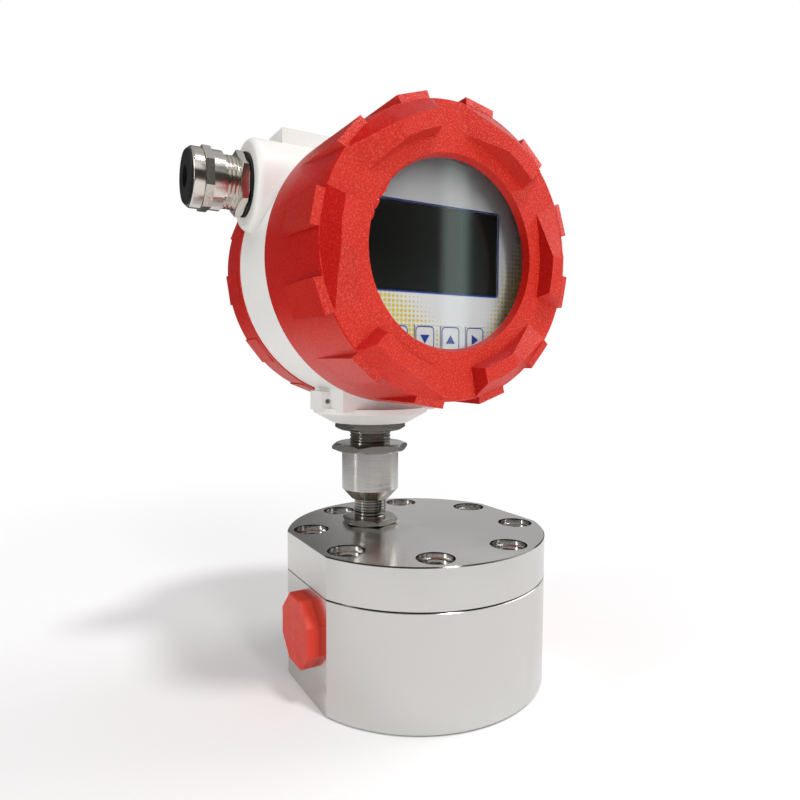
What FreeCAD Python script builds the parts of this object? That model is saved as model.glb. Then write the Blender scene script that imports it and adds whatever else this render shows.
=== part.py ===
import FreeCAD, Part
import math
import os

import Sketcher

# An oval gear flowmeter in millimetres. The origin is the middle of the underside of
# the meter body, +Z is up, the window faces -Y and the inlet faces -X.

DRIVING_SIZES = {
    # meter body and lid
    "body_dia": 110.0,
    "flat_cut": 3.8,
    "body_height": 45.2,
    "lid_thick": 16.5,
    "seam_chamfer": 0.45,
    "edge_break": 0.5,
    "foot_chamfer": 0.8,
    "bolt_inset": 10.0,
    "bolt_count": 8,
    "bolt_dia": 8.0,
    "bolt_head_dia": 13.0,
    "bolt_head_high": 8.0,
    "bolt_length": 20.0,
    "bolt_key": 6.0,
    "bolt_key_deep": 4.0,
    "bolt_sink": 2.5,
    "bolt_end_gap": 2.0,
    "bolt_play": 1.0,
    "cbore_dia": 14.8,
    "fit_gap": 0.05,
    # oval gears, their shafts and bushes
    "gear_centres": 34.0,
    "gear_long": 20.45,
    "gear_short": 13.45,
    "gear_high": 26.0,
    "tooth_count": 20,
    "tooth_deep": 2.0,
    "end_gap": 0.15,
    "tip_gap": 0.3,
    "shaft_dia": 8.0,
    "shaft_seat": 8.0,
    "shaft_cap": 2.5,
    "shaft_end_gap": 0.3,
    "bush_wall": 2.0,
    "magnet_dia": 5.0,
    "magnet_high": 5.0,
    "magnet_offset": 14.0,
    "seal_gap": 2.0,
    "seal_width": 2.6,
    "seal_deep": 2.0,
    # flow ports and their caps
    "port_level": 27.0,
    "port_dia": 24.2,
    "port_deep": 16.0,
    "passage_dia": 15.0,
    "passage_end": 10.0,
    "cap_across": 27.5,
    "cap_thick": 5.0,
    "cap_chamfer": 0.6,
    "cap_shank": 12.0,
    "cap_wall": 2.2,
    "cap_fit": 0.3,
    # pickup, stem and lock nuts
    "stem_x": -13.4,
    "stem_y": 17.0,
    "pickup_dia": 14.0,
    "pickup_floor": 2.5,
    "pickup_bore": 5.0,
    "pickup_end": 6.0,
    "pickup_top": 84.0,
    "neck_from": 69.0,
    "lid_nut_across": 22.0,
    "lid_nut_high": 2.8,
    "adapter_from": 72.7,
    "adapter_cone": 4.5,
    "adapter_foot_dia": 16.8,
    "adapter_dia": 25.0,
    "adapter_high": 21.3,
    "flange_across": 30.0,
    "flange_high": 3.5,
    "stem_dia": 18.0,
    "stem_bore": 10.0,
    "stem_in_head": 16.0,
    "thread_deep": 0.55,
    "thread_pitch": 1.5,
    "nut_face_step": 0.3,
    "nut_slope": 0.45,
    "nut_gap": 5.8,
    "head_nut_across": 27.0,
    "head_nut_high": 3.5,
    # head housing
    "head_level": 171.2,
    "band_step": 0.6,
    "band_front": 3.5,
    "band_back": 29.4,
    "cover_wall": 4.6,
    "front_spigot": 22.0,
    "back_spigot": 12.0,
    "spigot_wall": 5.0,
    "wall_front": -3.0,
    "wall_thick": 4.0,
    "wire_hole": 12.0,
    "stem_socket_past": 4.0,
    "block_half": 41.8,
    "block_top": 53.6,
    "block_front": 12.0,
    "block_long": 15.4,
    "web_end_gap": 2.0,
    "boss_dia": 35.6,
    "boss_proud": 1.4,
    "boss_round": 2.5,
    "boss_level": 30.5,
    "entry_dia": 20.0,
    "pedestal_dia": 50.0,
    "pedestal_thick": 6.8,
    "pedestal_drop": 4.5,
    "pedestal_slope": 8.0,
    "web_half": 22.0,
    "cover_room": 0.6,
    "lug_reach": 26.0,
    "lug_half": 6.0,
    "lug_high": 8.0,
    "lug_hole": 2.2,
    "lug_hole_in": 2.9,
    # front cover, window and what holds it
    "front_plane": 46.75,
    "cover_radius": 54.6,
    "cover_draft": 2.6,
    "cover_taper_from": 18.0,
    "cover_edge": 0.4,
    "thread_fit": 0.1,
    "rim_radius": 33.3,
    "rim_flare": 1.0,
    "rim_deep": 2.8,
    "window_seat": 1.8,
    "gasket_thick": 0.8,
    "gasket_wide": 8.9,
    "glass_thick": 3.5,
    "retainer_thick": 2.0,
    "retainer_wide": 2.1,
    "cover_bore_step": 4.7,
    "cover_bore_top": 33.6,
    "cover_bore_slope": 1.0,
    "bar_high": 5.4,
    "pad_bite": 0.6,
    "pad_slope": 0.9,
    "ring_seal_high": 2.0,
    "ring_seal_wide": 1.9,
    # rear cover
    "rear_deep": 24.6,
    "rear_wall": 4.0,
    "rear_draft": 4.1,
    "rear_taper": 8.0,
    "rear_recess": 38.0,
    "rear_recess_deep": 1.6,
    "rear_lug_proud": 0.5,
    "rear_lug_from": 2.5,
    "rear_lug_long": 15.0,
    # display inside the front cover
    "plate_front": 32.9,
    "plate_thick": 1.5,
    "plate_play": 0.9,
    "screen_wide": 57.6,
    "screen_high": 31.0,
    "screen_up": 3.3,
    "screen_sink": 0.3,
    "module_border": 4.5,
    "board_front": 24.3,
    "board_thick": 1.6,
    "board_play": 2.0,
    "standoff_across": 6.0,
    "standoff_inset": 7.0,
    "stud_dia": 3.0,
    "stud_deep": 5.0,
    "stud_play": 0.1,
    "key_pitch": 11.4,
    "key_shift": 0.9,
    "key_wide": 8.4,
    "key_high": 9.6,
    "key_top": -24.7,
    "key_gap": 0.2,
    "key_proud": 0.5,
    "key_flange": 0.5,
    "key_flange_thick": 0.8,
    "key_travel": 0.4,
    "key_stem": 3.0,
    "key_stem_gap": 0.1,
    "switch_size": 6.0,
    "switch_high": 1.2,
    # terminals in the rear compartment
    "terminal_count": 5,
    "terminal_pitch": 8.0,
    "terminal_deep": 14.0,
    "terminal_high": 12.0,
    "terminal_down": 12.0,
    "terminal_screw": 4.0,
    "terminal_wire": 3.4,
    "terminal_well": 4.6,
    "terminal_well_deep": 4.0,
    "terminal_wire_deep": 5.0,
    "terminal_screw_high": 2.4,
    "terminal_slot": 0.8,
    # cable gland and blind plug
    "gland_seal_thick": 0.9,
    "gland_seal_dia": 24.6,
    "gland_nut_across": 21.8,
    "gland_nut_high": 3.7,
    "gland_thread_long": 5.5,
    "gland_inside": 14.0,
    "gland_neck_dia": 22.2,
    "gland_neck_long": 4.1,
    "gland_ring_across": 22.5,
    "gland_ring_long": 3.1,
    "gland_bore": 12.0,
    "gland_tip_dia": 19.4,
    "gland_tip_long": 2.7,
    "gland_cap_dia": 22.4,
    "gland_cap_long": 4.4,
    "gland_cap_round": 1.0,
    "gland_lip": 1.6,
    "gland_cap_gap": 0.1,
    "insert_dia": 16.4,
    "insert_deep": 4.0,
    "insert_proud": 0.8,
    "insert_hole": 8.0,
    "blind_dia": 25.0,
    "blind_thick": 4.0,
    "blind_key": 8.0,
    "blind_key_deep": 3.0,
    "blind_shank": 12.0,
}

COVER_SIDES = 6
PAD_COUNT = 12
FULL_TURN = 360.0
HEX_SIDES = 6
CAP_SIDES = 8
RING_SIDES = 8
KEY_NAMES = ("key_menu", "key_down", "key_up", "key_right")

# Angles in degrees from +X seen from the front
PAD_MIDDLE = -11.0
PAD_HALF_ANGLE = 6.5
REAR_LUG_MIDDLE = 8.0
STANDOFF_ANGLES = (90.0, 215.0, 325.0)

# Cross sections along a raised grip of the front cover: the angle, how far the foot
# and the inner top edge lie outside the rim, how far the outer top edge lies inside
# the cover's front edge, and the share of the full height
GRIP_SECTIONS = (
    (26.0, 7.0, 7.3, 0.8, 0.0),
    (14.2, 5.8, 6.4, 4.0, 0.5),
    (2.5, 5.3, 7.0, 5.5, 1.0),
    (-7.0, 5.3, 6.8, 5.4, 1.0),
    (-16.5, 5.7, 7.0, 5.2, 1.0),
    (-19.3, 6.0, 6.3, 0.8, 0.0),
)

# How nuts, rings and screw sockets happen to be turned, in degrees
SCREW_TURN = 2.3
LID_NUT_TURN = 18.0
FLANGE_TURN = 47.0
HEAD_NUT_TURN = 35.0
GLAND_NUT_TURN = 53.0
GLAND_RING_TURN = 22.5

# A tooth as (share of the tooth's length, whether it is the root)
TOOTH_CORNERS = ((0.04, 0), (0.33, 0), (0.54, 1), (0.83, 1))
OUTLINE_STEPS = 720

# Allowances of the modelling: how far a joined form runs into what carries it,
# how far a cut starts outside, half a thread groove's width in pitches, and
# how close two heights are taken to be the same
OVERLAP = 1.0
OUTSIDE = 0.2
GROOVE_HALF = 0.42
SAME = 0.01
NO_LENGTH = 1e-9


class Size:
    """A number that knows its value and the sheet expression it comes from."""

    def __init__(self, value, text):
        self.value = float(value)
        self.text = text

    def __add__(self, other):
        other = as_size(other)
        return Size(self.value + other.value, "(%s + %s)" % (self.text, other.text))

    def __radd__(self, other):
        return as_size(other) + self

    def __sub__(self, other):
        other = as_size(other)
        return Size(self.value - other.value, "(%s - %s)" % (self.text, other.text))

    def __rsub__(self, other):
        return as_size(other) - self

    def __mul__(self, other):
        other = as_size(other)
        return Size(self.value * other.value, "(%s * %s)" % (self.text, other.text))

    def __rmul__(self, other):
        return as_size(other) * self

    def __truediv__(self, other):
        other = as_size(other)
        return Size(self.value / other.value, "(%s / %s)" % (self.text, other.text))

    def __neg__(self):
        return Size(-self.value, "(0 - %s)" % self.text)


def as_size(item):
    if isinstance(item, Size):
        return item
    return Size(item, "(%.9f)" % item)


class Sizes:
    """The driving dimensions: each is an attribute bound to its sheet cell."""

    def __init__(self, document, values):
        sheet = document.addObject("Spreadsheet::Sheet", "Sizes")
        for row, (name, value) in enumerate(values.items(), start=1):
            sheet.set("A%d" % row, name.replace("_", " "))
            sheet.set("B%d" % row, "%g" % value)
            sheet.setAlias("B%d" % row, name)
            setattr(self, name, Size(value, "Sizes.%s" % name))


doc = FreeCAD.newDocument("OvalGearFlowmeter")
d = Sizes(doc, DRIVING_SIZES)
doc.recompute()
PIECES = []

# Places that several pieces share
HEAD_FRAME = FreeCAD.Rotation(FreeCAD.Vector(1, 0, 0), 90)
LEFT_FRAME = FreeCAD.Rotation(FreeCAD.Vector(0, 1, 0), -90)
RIGHT_FRAME = FreeCAD.Rotation(FreeCAD.Vector(0, 1, 0), 90)
LEVEL_FRAME = FreeCAD.Rotation()

chamber_deep = d.gear_high + 2 * d.end_gap
chamber_floor = d.body_height - chamber_deep
gear_floor = chamber_floor + d.end_gap
lid_top = d.body_height + d.lid_thick
flat_width = d.body_dia - 2 * d.flat_cut
bolt_circle = d.body_dia - 2 * d.bolt_inset
bolt_seat = lid_top - d.bolt_sink - d.bolt_head_high
pickup_bottom = d.body_height + d.pickup_floor
flange_from = d.adapter_from + d.adapter_high
upper_thread_from = flange_from + d.flange_high
head_nut_from = upper_thread_from + d.nut_gap
head_bottom = head_nut_from + d.head_nut_high
stem_top = head_bottom + d.stem_in_head
head_drop = d.head_level - head_bottom
band_radius = d.cover_radius - d.band_step
spigot_radius = d.cover_radius - d.cover_wall
cavity_radius = spigot_radius - d.spigot_wall
cover_bore = spigot_radius - d.cover_bore_step
cover_nose = d.cover_radius - d.cover_draft
boss_reach = band_radius + d.boss_proud
window_radius = cover_bore - d.window_seat
rim_edge = d.rim_radius + d.rim_flare
plate_radius = cover_bore - d.plate_play
board_radius = cavity_radius - d.board_play
standoff_circle = 2 * (cavity_radius - d.standoff_inset)
rear_lug_reach = d.cover_radius + d.rear_lug_proud
spigot_front = d.band_front + d.front_spigot
spigot_back = d.band_back + d.back_spigot
wall_back = d.wall_front - d.wall_thick
glass_front = d.front_plane - d.rim_deep - d.gasket_thick
glass_back = glass_front - d.glass_thick
retainer_back = glass_back - d.retainer_thick
plate_back = d.plate_front - d.plate_thick
board_back = d.board_front - d.board_thick
gland_nut_from = d.gland_seal_thick
gland_thread_to = gland_nut_from + d.gland_nut_high + d.gland_thread_long
gland_ring_from = gland_thread_to + d.gland_neck_long
gland_ring_to = gland_ring_from + d.gland_ring_long
gland_tip = gland_ring_to + d.gland_tip_long


def start_body(name, origin=(0, 0, 0), frame=LEVEL_FRAME):
    """A new sub-part with its own label, at its own place in the assembly."""
    body = doc.addObject("PartDesign::Body", name)
    body.Label = name
    places = [as_size(item) for item in origin]
    body.Placement = FreeCAD.Placement(FreeCAD.Vector(*[item.value for item in places]), frame)
    for axis, item in zip("xyz", places):
        body.setExpression("Placement.Base.%s" % axis, item.text)
    PIECES.append(body)
    return body


def origin_feature(body, role):
    return [item for item in body.Origin.OriginFeatures if item.Role == role][0]


def new_sketch(body, plane="XY_Plane", offset=0):
    """A sketch on one of the body's origin planes, moved along the plane's normal."""
    sketch = body.newObject("Sketcher::SketchObject", body.Name + "_sketch")
    sketch.AttachmentSupport = [(origin_feature(body, plane), "")]
    sketch.MapMode = "FlatFace"
    lift = as_size(offset)
    sketch.AttachmentOffset = FreeCAD.Placement(FreeCAD.Vector(0, 0, lift.value), LEVEL_FRAME)
    sketch.setExpression("AttachmentOffset.Base.z", lift.text)
    return sketch


def pin_point(sketch, geometry, point, across, along):
    """Ties one point of a sketch to its two coordinates."""
    for kind, axis, item in (("DistanceX", -2, as_size(across)), ("DistanceY", -1, as_size(along))):
        if abs(item.value) < NO_LENGTH:
            sketch.addConstraint(Sketcher.Constraint("PointOnObject", geometry, point, axis))
            continue
        rule = Sketcher.Constraint(kind, -1, 1, geometry, point, item.value)
        index = sketch.addConstraint(rule)
        sketch.setExpression("Constraints[%d]" % index, item.text)


def draw_outline(sketch, points):
    """A closed outline of straight edges whose corners are tied to the sheet."""
    places = [(as_size(across), as_size(along)) for across, along in points]
    vectors = [FreeCAD.Vector(across.value, along.value, 0) for across, along in places]
    first = sketch.GeometryCount
    count = len(vectors)
    for index, start in enumerate(vectors):
        sketch.addGeometry(Part.LineSegment(start, vectors[(index + 1) % count]), False)
    for index, (across, along) in enumerate(places):
        here = first + index
        following = first + (index + 1) % count
        sketch.addConstraint(Sketcher.Constraint("Coincident", here, 2, following, 1))
        pin_point(sketch, here, 1, across, along)


def draw_circle(sketch, diameter, across=0, along=0):
    diameter = as_size(diameter)
    middle = FreeCAD.Vector(as_size(across).value, as_size(along).value, 0)
    circle = Part.Circle(middle, FreeCAD.Vector(0, 0, 1), diameter.value / 2)
    geometry = sketch.addGeometry(circle, False)
    index = sketch.addConstraint(Sketcher.Constraint("Diameter", geometry, diameter.value))
    sketch.setExpression("Constraints[%d]" % index, diameter.text)
    pin_point(sketch, geometry, 3, across, along)


def box_outline(left, right, low, high):
    return [(left, low), (right, low), (right, high), (left, high)]


def polar_point(radius, degrees):
    angle = math.radians(degrees)
    return radius * math.cos(angle), radius * math.sin(angle)


def regular_outline(across, sides, turn=0.0):
    """A regular polygon given by its width across flats."""
    corner = across / (2 * math.cos(math.pi / sides))
    return [polar_point(corner, turn + index * FULL_TURN / sides) for index in range(sides)]


def finish(body, feature):
    body.Tip = feature
    doc.recompute()
    return feature


def revolve(body, points):
    """Turns an outline of (radius, height) points round the body's Z axis."""
    sketch = new_sketch(body, "XZ_Plane")
    draw_outline(sketch, points)
    feature = body.newObject("PartDesign::Revolution", body.Name + "_turned")
    feature.Profile = sketch
    feature.ReferenceAxis = (sketch, ["V_Axis"])
    feature.Angle = FULL_TURN
    return finish(body, feature)


def groove(body, points):
    """Cuts an outline of (radius, height) points round the body's Z axis."""
    sketch = new_sketch(body, "XZ_Plane")
    draw_outline(sketch, points)
    feature = body.newObject("PartDesign::Groove", body.Name + "_groove")
    feature.Profile = sketch
    feature.ReferenceAxis = (sketch, ["V_Axis"])
    feature.Angle = FULL_TURN
    return finish(body, feature)


def pad(body, sketch, length, backwards=False):
    length = as_size(length)
    feature = body.newObject("PartDesign::Pad", body.Name + "_pad")
    feature.Profile = sketch
    feature.Length = length.value
    feature.setExpression("Length", length.text)
    feature.Reversed = backwards
    return finish(body, feature)


def cut(body, sketch, length, backwards=False):
    """Cuts against the sketch's normal, or along it if backwards."""
    length = as_size(length)
    before = body.Shape.Volume
    feature = body.newObject("PartDesign::Pocket", body.Name + "_pocket")
    feature.Profile = sketch
    feature.Length = length.value
    feature.setExpression("Length", length.text)
    feature.Reversed = backwards
    finish(body, feature)
    if body.Shape.Volume >= before:
        raise RuntimeError("nothing was cut from " + body.Label)
    return feature


def edges_at(body, level, axis="Z"):
    """Names of the edges that lie flat at a level of one axis of the body's own frame."""
    place = as_size(level).value
    names = []
    for index, edge in enumerate(body.Tip.Shape.Edges):
        box = edge.BoundBox
        ends = (getattr(box, axis + "Min"), getattr(box, axis + "Max"))
        if max(abs(end - place) for end in ends) < SAME:
            names.append("Edge%d" % (index + 1))
    return names


def bevel(body, edges, size):
    """Chamfers the named edges."""
    base = body.Tip
    feature = body.newObject("PartDesign::Chamfer", body.Name + "_chamfer")
    feature.Base = (base, edges)
    feature.Size = size.value
    feature.setExpression("Size", size.text)
    return finish(body, feature)


def round_off(body, edges, radius):
    """Rounds the named edges."""
    base = body.Tip
    feature = body.newObject("PartDesign::Fillet", body.Name + "_rounding")
    feature.Base = (base, edges)
    feature.Radius = radius.value
    feature.setExpression("Radius", radius.text)
    return finish(body, feature)


def repeat_round(body, features, count):
    """Repeats features round the body's Z axis."""
    count = as_size(count)
    pattern = body.newObject("PartDesign::PolarPattern", body.Name + "_pattern")
    pattern.Originals = features
    pattern.Axis = (origin_feature(body, "Z_Axis"), [""])
    pattern.Angle = FULL_TURN
    pattern.Occurrences = int(count.value)
    pattern.setExpression("Occurrences", count.text)
    return finish(body, pattern)


def thread_grooves(body, major, first, last):
    """Ring grooves of a thread's pitch and depth between two heights."""
    top = as_size(major) / 2
    turns = int((as_size(last).value - as_size(first).value) / d.thread_pitch.value)
    for index in range(turns):
        middle = first + d.thread_pitch * (index + 0.5)
        half = d.thread_pitch * GROOVE_HALF
        groove(body, [
            (top - d.thread_deep, middle),
            (top + OUTSIDE, middle - half),
            (top + OUTSIDE, middle + half),
        ])


def cut_disc_body(body, low, high, low_chamfer, high_chamfer):
    """The round block with two flats that the meter body and lid share."""
    radius = d.body_dia / 2
    revolve(body, [
        (0, low),
        (radius - low_chamfer, low),
        (radius, low + low_chamfer),
        (radius, high - high_chamfer),
        (radius - high_chamfer, high),
        (0, high),
    ])
    flats = new_sketch(body, offset=high)
    beyond = radius + OVERLAP
    draw_outline(flats, box_outline(flat_width / 2, beyond, -radius, radius))
    draw_outline(flats, box_outline(-beyond, -flat_width / 2, -radius, radius))
    cut(body, flats, high - low)


def bolt_hole(body, diameter, top, deep):
    """One bolt's hole, repeated round the bolt circle."""
    sketch = new_sketch(body, offset=top)
    x, y = polar_point(bolt_circle / 2, FULL_TURN / d.bolt_count.value / 2)
    draw_circle(sketch, diameter, x, y)
    hole = cut(body, sketch, deep)
    repeat_round(body, [hole], d.bolt_count)


def draw_slot(sketch, radius):
    """A straight slot round both gear centres."""
    reach = d.gear_centres.value / 2
    radius = radius.value
    up = FreeCAD.Vector(0, reach, 0)
    down = FreeCAD.Vector(0, -reach, 0)
    normal = FreeCAD.Vector(0, 0, 1)
    sketch.addGeometry(Part.ArcOfCircle(Part.Circle(up, normal, radius), 0, math.pi), False)
    sketch.addGeometry(Part.ArcOfCircle(Part.Circle(down, normal, radius), math.pi, 2 * math.pi), False)
    left = FreeCAD.Vector(-radius, 0, 0)
    right = FreeCAD.Vector(radius, 0, 0)
    sketch.addGeometry(Part.LineSegment(up + left, down + left), False)
    sketch.addGeometry(Part.LineSegment(down + right, up + right), False)


def build_meter_body():
    body = start_body("meter_body")
    cut_disc_body(body, as_size(0), d.body_height, d.foot_chamfer, d.seam_chamfer)
    for side in (-1, 1):
        chamber = new_sketch(body, offset=d.body_height)
        draw_circle(chamber, 2 * (d.gear_long + d.tip_gap), 0, side * d.gear_centres / 2)
        cut(body, chamber, chamber_deep)
    seal = new_sketch(body, offset=d.body_height)
    inner = d.gear_long + d.tip_gap + d.seal_gap
    draw_slot(seal, inner)
    draw_slot(seal, inner + d.seal_width)
    cut(body, seal, d.seal_deep)
    port = new_sketch(body, "YZ_Plane", flat_width / 2)
    draw_circle(port, d.port_dia, 0, d.port_level)
    port_hole = cut(body, port, d.port_deep)
    repeat_round(body, [port_hole], 2)
    passage = new_sketch(body, "YZ_Plane", flat_width / 2 - d.port_deep)
    draw_circle(passage, d.passage_dia, 0, d.port_level)
    passage_hole = cut(body, passage, flat_width / 2 - d.port_deep - d.passage_end)
    repeat_round(body, [passage_hole], 2)
    hole_deep = d.bolt_length - (bolt_seat - d.body_height) + d.bolt_end_gap
    bolt_hole(body, d.bolt_dia + 2 * d.fit_gap, d.body_height, hole_deep)
    for side in (-1, 1):
        seat = new_sketch(body, offset=chamber_floor)
        draw_circle(seat, d.shaft_dia + 2 * d.fit_gap, 0, side * d.gear_centres / 2)
        cut(body, seat, d.shaft_seat)


def build_meter_lid():
    body = start_body("meter_lid", (0, 0, d.body_height))
    cut_disc_body(body, as_size(0), d.lid_thick, d.seam_chamfer, d.seam_chamfer)
    bolt_hole(body, d.bolt_dia + d.bolt_play, d.lid_thick, d.lid_thick)
    bolt_hole(body, d.cbore_dia, d.lid_thick, d.bolt_sink + d.bolt_head_high)
    pickup = new_sketch(body, offset=d.lid_thick)
    draw_circle(pickup, d.pickup_dia + 2 * d.fit_gap, d.stem_x, d.stem_y)
    cut(body, pickup, d.lid_thick - d.pickup_floor)
    for side in (-1, 1):
        seat = new_sketch(body)
        draw_circle(seat, d.shaft_dia + 2 * d.fit_gap, 0, side * d.gear_centres / 2)
        cut(body, seat, d.shaft_cap, backwards=True)


def build_lid_seal():
    body = start_body("lid_seal", (0, 0, d.body_height - d.seal_deep))
    sketch = new_sketch(body)
    inner = d.gear_long + d.tip_gap + d.seal_gap
    draw_slot(sketch, inner + d.fit_gap)
    draw_slot(sketch, inner + d.seal_width - d.fit_gap)
    pad(body, sketch, d.seal_deep)


def build_lid_screws():
    """Eight socket head screws, sunk in the lid's counterbores."""
    radius = bolt_circle.value / 2
    head = Part.makeCylinder(d.bolt_head_dia.value / 2, d.bolt_head_high.value)
    rim = [edge for edge in head.Edges if edge.BoundBox.ZMin > d.bolt_head_high.value - SAME]
    head = head.makeChamfer(d.seam_chamfer.value, [edge for edge in rim if edge.Closed])
    shank = Part.makeCylinder(d.bolt_dia.value / 2, d.bolt_length.value)
    shank.translate(FreeCAD.Vector(0, 0, -d.bolt_length.value))
    corners = [FreeCAD.Vector(x, y, 0) for x, y in regular_outline(d.bolt_key.value, HEX_SIDES)]
    socket = Part.Face(Part.makePolygon(corners + corners[:1]))
    socket = socket.extrude(FreeCAD.Vector(0, 0, d.bolt_key_deep.value))
    socket.translate(FreeCAD.Vector(0, 0, d.bolt_head_high.value - d.bolt_key_deep.value))
    screw = head.fuse(shank).cut(socket).removeSplitter()
    screws = []
    for index in range(int(d.bolt_count.value)):
        angle = FULL_TURN / d.bolt_count.value * (index + 0.5)
        copy = screw.copy()
        copy.Placement = FreeCAD.Placement(
            FreeCAD.Vector(*polar_point(radius, angle), 0),
            FreeCAD.Rotation(FreeCAD.Vector(0, 0, 1), angle * SCREW_TURN),
        )
        screws.append(copy)
    add_group("lid_screws", screws, (0, 0, bolt_seat))


def add_group(name, solids, origin=(0, 0, 0), frame=LEVEL_FRAME):
    """A sub-part of several like solids that share one node."""
    group = doc.addObject("Part::Feature", name)
    group.Label = name
    group.Shape = Part.makeCompound(solids)
    places = [as_size(item) for item in origin]
    group.Placement = FreeCAD.Placement(FreeCAD.Vector(*[item.value for item in places]), frame)
    PIECES.append(group)


def oval_radius(degrees, inset):
    """Radius of the gear's oval, from its long axis, drawn in by the inset."""
    long_radius = d.gear_long.value
    short_radius = d.gear_short.value
    middle = 2 * long_radius * short_radius / (long_radius + short_radius)
    swing = (long_radius - short_radius) / (long_radius + short_radius)
    return middle / (1 - swing * math.cos(2 * math.radians(degrees))) - inset


def gear_outline():
    """Teeth of even arc length round the oval, as (x, y) points."""
    angles = [FULL_TURN * index / OUTLINE_STEPS for index in range(OUTLINE_STEPS)]
    total = sum(oval_radius(degrees, 0) for degrees in angles)
    teeth = int(d.tooth_count.value)
    corners = [((tooth + share) / teeth, root) for tooth in range(teeth) for share, root in TOOTH_CORNERS]
    points = []
    walked = 0.0
    for degrees in angles:
        walked += oval_radius(degrees, 0) / total
        while len(points) < len(corners) and corners[len(points)][0] <= walked:
            inset = corners[len(points)][1] * d.tooth_deep.value
            points.append(polar_point(oval_radius(degrees, inset), degrees))
    return points


def build_oval_gears():
    for name, side, turn in (("oval_gear_a", 1, 0.0), ("oval_gear_b", -1, 90.0)):
        spin = FreeCAD.Rotation(FreeCAD.Vector(0, 0, 1), turn)
        body = start_body(name, (0, side * d.gear_centres / 2, gear_floor), spin)
        outline = new_sketch(body)
        corners = [FreeCAD.Vector(x, y, 0) for x, y in gear_outline()]
        for start, end in zip(corners, corners[1:] + corners[:1]):
            outline.addGeometry(Part.LineSegment(start, end), False)
        pad(body, outline, d.gear_high)
        bore = new_sketch(body, offset=d.gear_high)
        draw_circle(bore, d.shaft_dia + 2 * d.bush_wall + 2 * d.fit_gap)
        cut(body, bore, d.gear_high)
        if side > 0:
            seats = new_sketch(body, offset=d.gear_high)
            for end in (-1, 1):
                draw_circle(seats, d.magnet_dia + 2 * d.fit_gap, end * d.magnet_offset, 0)
            cut(body, seats, d.magnet_high)


def build_gear_bearings():
    """A bush pressed into each gear and the fixed shaft that it runs on."""
    radius = d.shaft_dia / 2
    top = d.shaft_seat + chamber_deep + d.shaft_cap - d.shaft_end_gap
    for letter, side in (("a", 1), ("b", -1)):
        middle = side * d.gear_centres / 2
        bush = start_body("gear_bush_" + letter, (0, middle, gear_floor))
        revolve(bush, box_outline(radius + d.fit_gap, radius + d.bush_wall, 0, d.gear_high))
        shaft = start_body("gear_shaft_" + letter, (0, middle, chamber_floor - d.shaft_seat))
        revolve(shaft, [
            (0, 0),
            (radius - d.edge_break, 0),
            (radius, d.edge_break),
            (radius, top - d.edge_break),
            (radius - d.edge_break, top),
            (0, top),
        ])


def build_gear_magnets():
    solids = []
    for end in (-1, 1):
        magnet = Part.makeCylinder(d.magnet_dia.value / 2, d.magnet_high.value)
        magnet.translate(FreeCAD.Vector(end * d.magnet_offset.value, 0, 0))
        solids.append(magnet)
    low = gear_floor + d.gear_high - d.magnet_high
    add_group("gear_magnets", solids, (0, d.gear_centres / 2, low))


def build_port_caps():
    """Octagonal threaded caps that close the two flow ports for transport."""
    for name, side, frame in (("inlet_plug", -1, LEFT_FRAME), ("outlet_plug", 1, RIGHT_FRAME)):
        body = start_body(name, (side * flat_width / 2, 0, d.port_level), frame)
        outline = new_sketch(body)
        draw_outline(outline, regular_outline(d.cap_across, CAP_SIDES, FULL_TURN / CAP_SIDES / 2))
        pad(body, outline, d.cap_thick)
        bevel(body, edges_at(body, d.cap_thick), d.cap_chamfer)
        shank = new_sketch(body)
        draw_circle(shank, d.port_dia - 2 * d.cap_fit)
        draw_circle(shank, d.port_dia - 2 * d.cap_fit - 2 * d.cap_wall)
        pad(body, shank, d.cap_shank, backwards=True)


def build_pickup():
    radius = d.pickup_dia / 2
    low = pickup_bottom + d.fit_gap
    body = start_body("pickup_sensor", (d.stem_x, d.stem_y, 0))
    revolve(body, [(0, low), (radius, low), (radius, d.pickup_top), (0, d.pickup_top)])
    wire = new_sketch(body, offset=d.pickup_top)
    draw_circle(wire, d.pickup_bore)
    cut(body, wire, d.pickup_top - low - d.pickup_end)
    thread_grooves(body, d.pickup_dia, lid_top + d.lid_nut_high + OUTSIDE, d.neck_from)


def hexagon_rim(across, low, high):
    """The turned profile of a hexagon whose corners are chamfered at both faces."""
    corner = across / math.sqrt(3)
    flat = across / 2 - d.nut_face_step
    slope = (corner - flat) * d.nut_slope
    return [(flat, low), (corner, low + slope), (corner, high - slope), (flat, high)]


def cut_hexagon(body, across, high, deep, turn):
    """Cuts six flats between a height and a depth below it."""
    sketch = new_sketch(body, offset=high)
    draw_circle(sketch, 2 * (across / math.sqrt(3) + OVERLAP))
    draw_outline(sketch, regular_outline(across, HEX_SIDES, turn))
    cut(body, sketch, deep)


def build_nut(name, place, across, high, bore, turn, frame=LEVEL_FRAME):
    """A plain hexagon nut with chamfered corners at both faces."""
    body = start_body(name, place, frame)
    hole = bore / 2 + d.fit_gap
    revolve(body, [(hole, 0)] + hexagon_rim(across, 0, high) + [(hole, high)])
    cut_hexagon(body, across, high, high, turn)


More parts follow.
